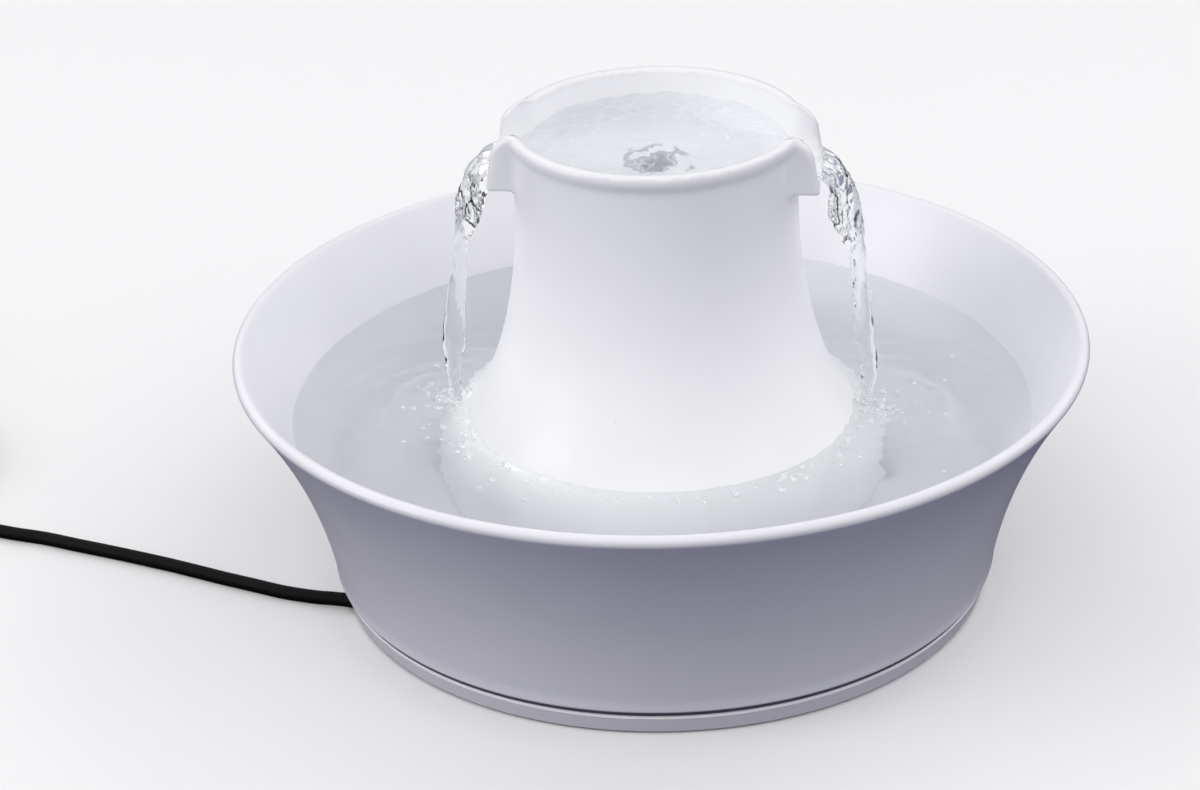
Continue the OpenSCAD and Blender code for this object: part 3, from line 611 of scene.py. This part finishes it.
def make_bubbles():
    """Bubbles that gather round both landings and along the tower's foot."""
    chance = random.Random(SEED)
    spots = []
    for side in (-1, 1):
        for _ in range(LANDING_BUBBLES):
            away = LANDING_FROM + chance.expovariate(1 / LANDING_SPREAD)
            t = chance.uniform(0, 2 * math.pi)
            spots.append((side * LANDING_X + away * math.cos(t), away * math.sin(t)))
        for _ in range(FOOT_BUBBLES):
            t = math.radians(-90 + side * abs(chance.gauss(*FOOT_ANGLE)))
            r = FOOT_FROM_R + chance.expovariate(1 / FOOT_SPREAD)
            spots.append((r * math.cos(t), r * math.sin(t)))
    near, far = BUBBLES_WITHIN
    balls = bmesh.new()
    for x, y in spots:
        if not near < math.hypot(x, y) < far:
            continue
        size = chance.uniform(*BUBBLE_SIZES) * MM
        made = bmesh.ops.create_icosphere(balls, subdivisions=2, radius=size)
        squeeze = chance.uniform(*BUBBLE_SQUEEZE)
        for v in made["verts"]:
            v.co.z *= squeeze
            v.co += Vector((x, y, bowl_water_height(x, y) + BUBBLE_FLOAT * size))
    data = bpy.data.meshes.new("water_bubbles")
    balls.to_mesh(data)
    balls.free()
    data.shade_smooth()
    return new_object("water_bubbles", data)


# ---- cord ----

CORD_D = 5 * MM
CORD_EXIT = (-111.5, -39, 3.3)
# The lead's way along the floor, as in the CAD source, in millimetres
CORD_ROUTE = [
    CORD_EXIT, (-117, -37.8, 3), (-122.5, -36.6, 2.6), (-134, -33.8, 2.5), (-146, -29.4, 2.5),
    (-158, -25, 2.5), (-170, -20.2, 2.5), (-182, -15.6, 2.5), (-194.5, -11.2, 2.5),
    (-206.5, -7.2, 2.5), (-219, -3.2, 2.5), (-231, 0.8, 2.5), (-243, 3.6, 2.5), (-250, 5.6, 2.5),
    (-266, 10.4, 2.5), (-282, 15.1, 2.6), (-298, 19.9, 2.9),
]
# The lead's end, from the coil's top turn to the adapter
TAIL_ROUTE = [
    (-332.5, 66, 13.45), (-332.5, 75, 13.3), (-332.5, 82, 12.6), (-332.5, 88, 11.8),
    (-332.5, 91, 11.55), (-332.5, 95, 11.5),
]
COIL_AT = (-305, 56)
COIL_PITCH = 5.1
COIL_MID_R = 27.5
COIL_LOW = 3.1
COIL_START = -106.5
COIL_SWEEP = 2593.5
# Where a turn starts to shift: degrees along the coil, then the steps outward and upward
COIL_SHIFTS = [
    (300, -1, 0), (660, -1, 0), (960, 0, 1), (1260, 1, 0), (1620, 1, 0), (1920, 0, 1),
    (2220, -1, 0),
]
SHIFT_SWEEP = 60
COIL_STEPS = 288
LEAD_STEPS = 4
ADAPTER_PIECES = [
    "adapter_body", "adapter_cover", "adapter_blades", "adapter_relief", "adapter_core",
    "adapter_winding", "cord_tie",
]


def smooth_step(t):
    t = clamped(t)
    return t * t * (3 - 2 * t)


def coil_point(turned):
    """A point on the coil's turns, wound clockwise in layers from its outer bottom turn."""
    out, up = 1.0, 0.0
    for start, outward, upward in COIL_SHIFTS:
        share = smooth_step((turned - start) / SHIFT_SWEEP)
        out += outward * share
        up += upward * share
    r = COIL_MID_R + COIL_PITCH * out
    t = math.radians(COIL_START - turned)
    return (COIL_AT[0] + r * math.cos(t), COIL_AT[1] + r * math.sin(t), COIL_LOW + COIL_PITCH * up)


def smooth_line(rows, k):
    """Catmull-Rom line through rows of numbers, k steps to a stretch."""
    rows = [Vector(r) for r in rows]
    out = []
    for i in range(len(rows) - 1):
        a, b = rows[max(i - 1, 0)], rows[i]
        c, d = rows[i + 1], rows[min(i + 2, len(rows) - 1)]
        for j in range(k):
            t = j / k
            out.append(0.5 * (2 * b + (c - a) * t + (2 * a - 5 * b + 4 * c - d) * t * t
                              + (3 * b - a - 3 * c + d) * t ** 3))
    out.append(rows[-1])
    return out


def make_lead():
    """The free lead as one line: along the floor, seven turns of coil, and up to the adapter."""
    coil = [coil_point(COIL_SWEEP * i / COIL_STEPS) for i in range(COIL_STEPS + 1)]
    along_floor = smooth_line(CORD_ROUTE + coil[:1], LEAD_STEPS)
    tail = smooth_line(coil[-1:] + TAIL_ROUTE, LEAD_STEPS)
    line = along_floor[:-1] + coil[:-1] + tail
    curve = bpy.data.curves.new("mains_lead", "CURVE")
    curve.dimensions = "3D"
    curve.bevel_depth = CORD_D / 2
    curve.bevel_resolution = 5
    curve.use_fill_caps = True
    spline = curve.splines.new("POLY")
    spline.points.add(len(line) - 1)
    for point, at in zip(spline.points, line):
        point.co = (at[0] * MM, at[1] * MM, at[2] * MM, 1)
    spline.use_smooth = True
    return new_object("mains_lead", curve)


# ---- materials ----

PINHOLE = (0.52, 0.5, 0.5)
# Painted shade: the dark colour painted on the bowl's foot in the seam gap
SEAM_SHADE_COLOUR = (0.3, 0.295, 0.31)
# Painted dark lines where a stream folds over, standing in for the dark refraction there: how much
# noise makes one, how far from the axis they end, between which heights they show, and how they
# fade at both ends
PAINTED_FOLD_LINE = (0.018, 0.032)
PAINTED_FOLD_INSIDE = (65.5 * MM, 68 * MM)
PAINTED_FOLD_HEIGHTS = (124 * MM, 157 * MM)
PAINTED_FOLD_FADE_LOW = 9 * MM
PAINTED_FOLD_FADE_HIGH = 4 * MM


class Recipe:
    """Builds one material's nodes round its Principled shader."""

    def __init__(self, name):
        self.material = bpy.data.materials.new(name)
        self.material.use_nodes = True
        self.tree = self.material.node_tree
        self.shader = self.tree.nodes["Principled BSDF"]
        self.output = self.tree.nodes["Material Output"]
        self.place = self.node("ShaderNodeTexCoord").outputs["Object"]

    def put(self, node, values):
        """Sets a node's inputs, or links those whose value is a socket."""
        for key, value in values.items():
            if isinstance(value, bpy.types.NodeSocket):
                self.tree.links.new(value, node.inputs[key])
            else:
                node.inputs[key].default_value = value

    def node(self, kind, values=None, **settings):
        made = self.tree.nodes.new(kind)
        for key, value in settings.items():
            setattr(made, key, value)
        self.put(made, values or {})
        return made

    def set(self, values):
        self.put(self.shader, values)

    def along(self, axis):
        """The place along X, Y or Z (0, 1, 2), in metres."""
        return self.node("ShaderNodeSeparateXYZ", {0: self.place}).outputs[axis]

    def noise(self, size, detail=2, stretch=(1, 1, 1), rough=0.5):
        """Noise with features about size long, times stretch along each axis."""
        scale = [1 / (size * s) for s in stretch]
        spot = self.node("ShaderNodeMapping", {"Vector": self.place, "Scale": scale})
        values = {"Vector": spot.outputs[0], "Scale": 1, "Detail": detail, "Roughness": rough}
        return self.node("ShaderNodeTexNoise", values).outputs[0]

    def cells(self, size):
        """Distance from the middle of irregular cells about size wide."""
        values = {"Vector": self.place, "Scale": 1 / size}
        return self.node("ShaderNodeTexVoronoi", values).outputs["Distance"]

    def remap(self, value, low, high, to_low, to_high):
        values = {"Value": value, "From Min": low, "From Max": high,
                  "To Min": to_low, "To Max": to_high}
        return self.node("ShaderNodeMapRange", values).outputs[0]

    def math(self, operation, a, b=0.0):
        return self.node("ShaderNodeMath", {0: a, 1: b}, operation=operation).outputs[0]

    def blend(self, share, a, b):
        """Colour a, with b where share is 1."""
        made = self.node("ShaderNodeMix", data_type="RGBA")
        self.put(made, {0: share, 6: tint(a), 7: tint(b)})
        return made.outputs[2]

    def bump(self, height, distance, under=None):
        values = {"Height": height, "Distance": distance, "Strength": 1}
        if under:
            values["Normal"] = under
        return self.node("ShaderNodeBump", values).outputs[0]


def tint(colour):
    """A colour of three numbers with its alpha, or a socket as it is."""
    if isinstance(colour, bpy.types.NodeSocket):
        return colour
    return (*colour, 1)


def glaze(name, colour, seam_shade_below=0.0):
    """White stoneware under a clear glaze: slight pooling, orange peel and a few pinholes.

    Below seam_shade_below, at the foot and in the seam gap, the colour is painted dark as painted
    shade of the gap.
    """
    r = Recipe(name)
    tone = r.remap(r.noise(55 * MM, 3), 0.35, 0.7, 0, 1)
    base = r.blend(tone, colour, [c * 0.97 for c in colour])
    speck = r.remap(r.cells(17 * MM), 0.012, 0.03, 1, 0)
    rare = r.remap(r.noise(40 * MM, 0), 0.56, 0.6, 0, 0.5)
    base = r.blend(r.math("MULTIPLY", speck, rare), base, PINHOLE)
    # Painted shade: below this height the surface is painted dark, standing in for the shadow in
    # the seam gap
    seam_shade = r.remap(r.along(2), seam_shade_below, seam_shade_below + 0.3 * MM, 1, 0)
    base = r.blend(seam_shade, base, SEAM_SHADE_COLOUR)
    wave = r.bump(r.noise(38 * MM, 1), 0.35 * MM)
    peel = r.bump(r.noise(4.5 * MM, 2), 0.012 * MM, wave)
    r.set({"Base Color": base, "Roughness": r.remap(r.noise(22 * MM, 3), 0.3, 0.7, 0.29, 0.36),
           "Normal": peel, "IOR": 1.45, "Coat Weight": 0.12, "Coat Roughness": 0.08})
    return r.material


def moulded(name, colour, rough=0.4, grain=0.4, deep=0.03, flow=0.06, gloss=0.5):
    """Moulded plastic or rubber: faint flow marks and a fine grain, sized in millimetres."""
    r = Recipe(name)
    darker = [c * (1 - flow) for c in colour]
    base = r.blend(r.remap(r.noise(30 * MM, 4, (1, 1, 2.5)), 0.35, 0.65, 0, 1), colour, darker)
    dust = r.remap(r.noise(7 * MM, 4), 0.3, 0.7, rough - 0.06, rough + 0.08)
    relief = r.bump(r.noise(grain * MM, 3), deep * MM)
    r.set({"Base Color": base, "Roughness": dust, "Normal": relief, "Specular IOR Level": gloss})
    return r.material


def laminated(name):
    """Stacked steel sheets, seen as fine lines across the stack."""
    r = Recipe(name)
    values = {"Vector": r.place, "Scale": 1 / (6.2 * MM), "Distortion": 0.3}
    sheets = r.node("ShaderNodeTexWave", values, bands_direction="X", wave_profile="SAW").outputs[1]
    rust = r.remap(r.noise(8 * MM, 5), 0.5, 0.72, 0, 1)
    r.set({"Base Color": r.blend(rust, (0.48, 0.48, 0.5), (0.3, 0.25, 0.22)), "Metallic": 1,
           "Roughness": r.remap(sheets, 0, 1, 0.3, 0.5), "Normal": r.bump(sheets, 0.1 * MM)})
    return r.material


def wound(name):
    """Enamelled copper wire, turn beside turn, painted darker in the grooves and lighter on the
    crests as painted shade and highlight.
    """
    r = Recipe(name)
    values = {"Vector": r.place, "Scale": 1 / (7 * MM), "Distortion": 0.8, "Detail": 1}
    turns = r.node("ShaderNodeTexWave", values, bands_direction="Y").outputs[1]
    # Painted shade and highlight: the colour follows the bump, dark in the grooves between turns
    # and bright on their crests
    r.set({"Base Color": r.blend(turns, (0.3, 0.1, 0.04), (0.72, 0.34, 0.17)), "Metallic": 1,
           "Roughness": 0.28, "Normal": r.bump(turns, 0.25 * MM), "Coat Weight": 0.5})
    return r.material


def foam(name):
    """Open-cell foam: thin struts, with the pores painted dark as painted shade deep in them."""
    r = Recipe(name)
    pores = r.cells(1.6 * MM)
    fine = r.cells(0.9 * MM)
    height = r.math("ADD", r.math("MULTIPLY", pores, -1.0), r.math("MULTIPLY", fine, -0.5))
    # Painted shade: the base colour darkens towards each pore's middle, where the bump is deepest
    pore_shade = r.remap(pores, 0.1, 0.6, 1, 0)
    r.set({"Base Color": r.blend(pore_shade, (0.13, 0.13, 0.14), (0.02, 0.02, 0.022)), "Roughness": 0.95,
           "Normal": r.bump(height, 0.5 * MM), "Specular IOR Level": 0.2})
    return r.material


def fleece(name):
    """White needled fleece with carbon grains showing through."""
    r = Recipe(name)
    grains = r.remap(r.cells(2.6 * MM), 0.2, 0.5, 1, 0)
    thin = r.remap(r.noise(9 * MM, 3), 0.4, 0.62, 0, 0.55)
    fibres = r.noise(0.7 * MM, 4, (1, 5, 1), 0.7)
    crossed = r.noise(0.7 * MM, 4, (5, 1, 1), 0.7)
    felt = r.math("ADD", fibres, crossed)
    base = r.blend(r.math("MULTIPLY", grains, thin), (0.86, 0.86, 0.84), (0.28, 0.28, 0.29))
    r.set({"Base Color": base, "Roughness": 0.95, "Normal": r.bump(felt, 0.3 * MM),
           "Sheen Weight": 0.3, "Specular IOR Level": 0.2})
    return r.material


def plated(name):
    """Nickel-plated brass with fine draw marks along the blades."""
    r = Recipe(name)
    marks = r.noise(0.5 * MM, 4, (30, 1, 1))
    worn = r.remap(r.noise(5 * MM, 3), 0.55, 0.75, 0, 1)
    base = r.blend(worn, (0.78, 0.77, 0.73), (0.6, 0.56, 0.48))
    r.set({"Base Color": base, "Metallic": 1, "Roughness": r.remap(marks, 0.3, 0.7, 0.18, 0.34),
           "Normal": r.bump(marks, 0.01 * MM)})
    return r.material


def ground_ceramic(name, colour, rough, grain):
    """Ground or pressed ceramic: grains of slightly different tone, their size in millimetres."""
    r = Recipe(name)
    grains = r.remap(r.noise(grain * MM, 4), 0.35, 0.65, 0, 1)
    r.set({"Base Color": r.blend(grains, colour, [c * 0.86 for c in colour]),
           "Roughness": r.remap(grains, 0, 1, rough, rough + 0.15),
           "Normal": r.bump(grains, 0.02 * MM)})
    return r.material


def see_through(r):
    """Lets shadow rays through a clear material, so that what lies under it is lit."""
    path = r.node("ShaderNodeLightPath").outputs["Is Shadow Ray"]
    clear = r.node("ShaderNodeBsdfTransparent").outputs[0]
    mixed = r.node("ShaderNodeMixShader", {0: path, 1: r.shader.outputs[0], 2: clear})
    r.tree.links.new(mixed.outputs[0], r.output.inputs[0])
    return r.material


def water(name, wave_size, wave_depth, blur=0.0, colour=(0.98, 0.992, 1.0), clear=1.0, painted_folds=False):
    """Water; the fine waves that the mesh is too coarse for are in its bump.

    Less than 1 clear, it is milky with fine air. With painted_folds, dark lines are painted on the
    inner side of falling water, standing in for the dark refraction there.
    """
    r = Recipe(name)
    fine = r.bump(r.noise(wave_size, 3), wave_depth)
    base = r.blend(r.noise(40 * MM, 1), colour, [c * 0.97 for c in colour])
    # Painted shade: near-black lines in the base colour stand in for the dark refraction in falling
    # water
    if painted_folds:
        low, high = PAINTED_FOLD_HEIGHTS
        bend = r.math("ABSOLUTE", r.math("SUBTRACT", r.noise(6 * MM, 3, (1, 1, 2)), 0.5))
        line = r.remap(bend, *PAINTED_FOLD_LINE, 1, 0)
        below = r.remap(r.along(2), high - PAINTED_FOLD_FADE_HIGH, high, 1, 0)
        above = r.remap(r.along(2), low, low + PAINTED_FOLD_FADE_LOW, 0, 1)
        inner = r.remap(r.math("ABSOLUTE", r.along(0)), *PAINTED_FOLD_INSIDE, 1, 0)
        line = r.math("MULTIPLY", line, inner)
        share = r.math("MULTIPLY", line, r.math("MULTIPLY", below, above))
        base = r.blend(share, base, (0.01, 0.01, 0.012))
    r.set({"Base Color": base, "Roughness": blur, "IOR": 1.333, "Transmission Weight": clear,
           "Normal": fine})
    return see_through(r)


# ---- making ----

# The backdrop's tone, and the floor's: what the view sees, and the little that it throws back
BACKDROP = (0.945, 0.945, 0.945)
FLOOR_TONES = ((0.955, 0.952, 0.955), (0.94, 0.938, 0.94))
FLOOR_THROWN = (0.04, 0.038, 0.1)
FLOOR_FADE = (1.2, 2.2)
FLOOR_REACH = 5
# The room's colour and strength at the horizon, and from SKY_TOP (the sine of the height) upward
HORIZON = (0.74, 0.75, 1.0)
HORIZON_GLOW = 0.38
SKY = (0.94, 0.945, 0.97)
SKY_GLOW = 0.65
SKY_TOP = 0.4
# Softboxes: azimuth and elevation in degrees, watts, and side in metres.
# Azimuth 0 is in front of the fountain and 90 on its right.
SOFTBOXES = {
    "front_high": (5, 50, 8.8, 1.6),
    "left_high": (-60, 30, 4.3, 1.6),
    "right_high": (60, 30, 7.5, 1.6),
    "left_low": (-70, 15, 11.2, 1.1),
    "back_left": (-130, 35, 4.9, 1.6),
    "back_right": (130, 35, 8.3, 1.6),
}
SOFTBOX_AWAY = 2.2
SOFTBOX_AIM_Z = 0.1
SOFTBOX_COLOUR = (1.0, 1.0, 0.975)
# These would throw the adapter's shadow into the picture's edge
LIGHTS_PAST_ADAPTER = ("left_high", "left_low", "back_left")


def dress(nodes, material):
    """Gives CAD nodes their material."""
    for name in nodes:
        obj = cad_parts[name]
        for slot in obj.material_slots:
            slot.link = "OBJECT"
            slot.material = material


def finish_with(obj, material, body, nodes=()):
    """Gives a piece its material and body, and perhaps hides the CAD nodes it stands for."""
    obj.data.materials.clear()
    obj.data.materials.append(material)
    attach(obj, body)
    if nodes:
        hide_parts(*nodes)
    return obj


def make_camera():
    """Looks as the reference view does: from in front, above, and a little to the right."""
    look = CAMERA_LOOK.normalized()
    level = look.cross(Vector((0, 0, 1))).normalized()
    right = math.cos(CAMERA_ROLL) * level + math.sin(CAMERA_ROLL) * level.cross(look)
    up = right.cross(look)
    data = bpy.data.cameras.new("camera")
    data.lens = CAMERA_LENS
    data.sensor_width = CAMERA_SENSOR
    data.clip_start = 10 * MM
    camera = new_object("camera", data)
    turn = Matrix((right, up, -look)).transposed()
    camera.matrix_world = Matrix.Translation(CAMERA_AT) @ turn.to_4x4()
    SCENE.camera = camera


def make_softbox(name, azimuth, elevation, watts, side):
    """A square soft light that looks at the fountain."""
    turn, rise = math.radians(azimuth), math.radians(elevation)
    flat = math.cos(rise)
    way = Vector((math.sin(turn) * flat, -math.cos(turn) * flat, math.sin(rise)))
    data = bpy.data.lights.new(name, "AREA")
    data.size = side
    data.energy = watts
    data.color = SOFTBOX_COLOUR
    light = new_object(name, data)
    light.matrix_world = way.to_track_quat("Z", "Y").to_matrix().to_4x4()
    light.location = SOFTBOX_AWAY * way + Vector((0, 0, SOFTBOX_AIM_Z))
    return light


def free_of_shadows(light, pieces):
    """Keeps the pieces from casting this light's shadow."""
    spared = bpy.data.collections.new(light.name + "_spared")
    for piece in pieces:
        spared.objects.link(piece)
    light.light_linking.blocker_collection = spared
    for entry in spared.collection_objects:
        entry.light_linking.link_state = "EXCLUDE"


def make_floor():
    """A pale floor, which far away goes over into the backdrop's tone without an edge.

    It throws less light back than it shows, and bluer, as a floor in a darker room does.
    """
    r = Recipe("floor_paper")
    tone = r.noise(0.6, 2)
    away = r.node("ShaderNodeVectorMath", {0: r.place}, operation="LENGTH").outputs["Value"]
    far = r.remap(away, *FLOOR_FADE, 0, 1)
    near = r.blend(tone, *FLOOR_TONES)
    path = r.node("ShaderNodeLightPath").outputs
    direct = r.math("MAXIMUM", path["Is Camera Ray"], path["Is Transmission Ray"])
    shown = r.blend(far, near, (0, 0, 0))
    r.set({"Base Color": r.blend(direct, FLOOR_THROWN, shown), "Roughness": 0.9,
           "Specular IOR Level": r.remap(far, 0, 1, 0.1, 0),
           "Emission Color": tint(BACKDROP), "Emission Strength": r.math("MULTIPLY", direct, far),
           "Normal": r.bump(r.noise(3 * MM, 3), 0.02 * MM)})
    signs = ((-1, -1), (1, -1), (1, 1), (-1, 1))
    corners = [(x * FLOOR_REACH, y * FLOOR_REACH, 0) for x, y in signs]
    floor = new_mesh("floor", corners, [(0, 1, 2, 3)])
    floor.data.materials.append(r.material)


def make_world():
    """A soft room, darker and bluer low down; the view itself sees the backdrop's tone."""
    world = bpy.data.worlds.new("studio")
    world.use_nodes = True
    SCENE.world = world
    tree = world.node_tree
    back = tree.nodes["Background"]
    way = tree.nodes.new("ShaderNodeTexCoord")
    parts = tree.nodes.new("ShaderNodeSeparateXYZ")
    hue = tree.nodes.new("ShaderNodeValToRGB")
    hue.color_ramp.elements[0].color = tint(HORIZON)
    hue.color_ramp.elements[1].color = tint(SKY)
    hue.color_ramp.elements[1].position = SKY_TOP
    glow = tree.nodes.new("ShaderNodeMapRange")
    glow.inputs["From Max"].default_value = SKY_TOP
    glow.inputs["To Min"].default_value = HORIZON_GLOW
    glow.inputs["To Max"].default_value = SKY_GLOW
    path = tree.nodes.new("ShaderNodeLightPath")
    seen = tree.nodes.new("ShaderNodeMix")
    seen.inputs[3].default_value = 1
    paper = tree.nodes.new("ShaderNodeMix")
    paper.data_type = "RGBA"
    paper.inputs[7].default_value = tint(BACKDROP)
    tree.links.new(way.outputs["Generated"], parts.inputs[0])
    tree.links.new(parts.outputs["Z"], glow.inputs["Value"])
    tree.links.new(parts.outputs["Z"], hue.inputs[0])
    tree.links.new(hue.outputs[0], paper.inputs[6])
    tree.links.new(path.outputs["Is Camera Ray"], paper.inputs[0])
    tree.links.new(paper.outputs[2], back.inputs["Color"])
    tree.links.new(path.outputs["Is Camera Ray"], seen.inputs[0])
    tree.links.new(glow.outputs[0], seen.inputs[2])
    tree.links.new(seen.outputs[0], back.inputs["Strength"])


make_camera()
SCENE.view_settings.view_transform = "Standard"
make_world()
make_floor()
lights = {name: make_softbox(name, *setting) for name, setting in SOFTBOXES.items()}

gloss_black = moulded("cord_pvc", (0.003, 0.003, 0.003), 0.55, 0.6, 0.01, gloss=0.12)
soft_black = moulded("cord_rubber", (0.02, 0.02, 0.021), 0.5, 0.5)
lead = finish_with(make_lead(), gloss_black, "base",
                   ["power_cord", "cord_coil", "cord_tail"])

# The bowl's foot in the seam gap gets painted shade
bowl_glaze = glaze("bowl_glaze", (0.9, 0.896, 0.932), BOWL_Z + SEAM_GAP)
finish_with(make_bowl(), bowl_glaze, "base", ["bowl"])
tower_glaze = glaze("tower_glaze", (0.953, 0.952, 0.964))
finish_with(make_tower(), tower_glaze, "tower", ["tower"])

still = water("bowl_water", 10 * MM, 0.4 * MM, 0.1, (0.955, 0.98, 1.0), clear=0.9)
finish_with(make_bowl_water(), still, "seal")
finish_with(make_bubbles(), water("bubbles", 3 * MM, 0.01 * MM, clear=0.85), "seal")
aerated = water("dish_water", 5 * MM, 0.5 * MM, 0.05, (0.87, 0.89, 0.93), clear=0.75)
finish_with(make_pool(), aerated, "tower")
# The streams carry painted dark fold lines that stand in for refraction shade
running = water("running_water", 5 * MM, 0.1 * MM, painted_folds=True)
for name, side in (("left", -1), ("right", 1)):
    stream = finish_with(make_stream("stream_" + name, side, STREAMS[name]), running, "tower")
    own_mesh(stream)

white = moulded("tray_plastic", (0.94, 0.937, 0.96), 0.42, 0.8, 0.004, flow=0.01)
grey = moulded("chamber_plastic", (0.78, 0.79, 0.8), 0.36, 0.5, 0.015)
black = moulded("pump_plastic", (0.05, 0.052, 0.056), 0.45, 0.35, 0.05)
dress(["base_tray"], white)
dress(["rubber_feet", "suction_cups"], moulded("feet_rubber", (0.32, 0.32, 0.34), 0.6, 0.5, 0.02))
dress(["floor_bung", "outlet_seal", "rear_bush", "front_bush"],
      moulded("seal_rubber", (0.5, 0.5, 0.52), 0.55, 0.5, 0.02))
dress(["riser_tube"], moulded("riser_plastic", (0.75, 0.79, 0.82), 0.35, 0.6, 0.01))
dress(["pump_chamber", "filter_basket", "filter_lid"], grey)
dress(["pump_body", "volute_cover"], black)
dress(["flow_slider"], moulded("slider_plastic", (0.1, 0.32, 0.62), 0.35, 0.6, 0.01))
dress(["impeller"], moulded("impeller_plastic", (0.85, 0.86, 0.86), 0.35, 0.6, 0.01))
dress(["stator_core", "adapter_core"], laminated("laminated_steel"))
dress(["stator_coil", "adapter_winding"], wound("copper_wire"))
dress(["motor_potting"], moulded("resin", (0.03, 0.03, 0.03), 0.16, 4, 0.05))
dress(["rotor_shaft"], ground_ceramic("shaft_ceramic", (0.9, 0.89, 0.85), 0.2, 0.6))
dress(["rotor_magnet"], ground_ceramic("ferrite", (0.1, 0.1, 0.11), 0.45, 0.4))
dress(["foam_disc"], foam("filter_foam"))
dress(["carbon_disc"], fleece("filter_fleece"))
dress(["lead_gland", "adapter_relief"], soft_black)
dress(["pump_lead", "channel_lead"], gloss_black)
dress(["cord_tie"], moulded("tie_plastic", (0.05, 0.05, 0.05), 0.4, 0.4))
dress(["adapter_body", "adapter_cover"],
      moulded("adapter_plastic", (0.03, 0.03, 0.032), 0.42, 0.35, 0.06))
dress(["adapter_blades"], plated("blade_metal"))

far_end = [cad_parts[name] for name in ADAPTER_PIECES] + [lead]
for name in LIGHTS_PAST_ADAPTER:
    free_of_shadows(lights[name], far_end)
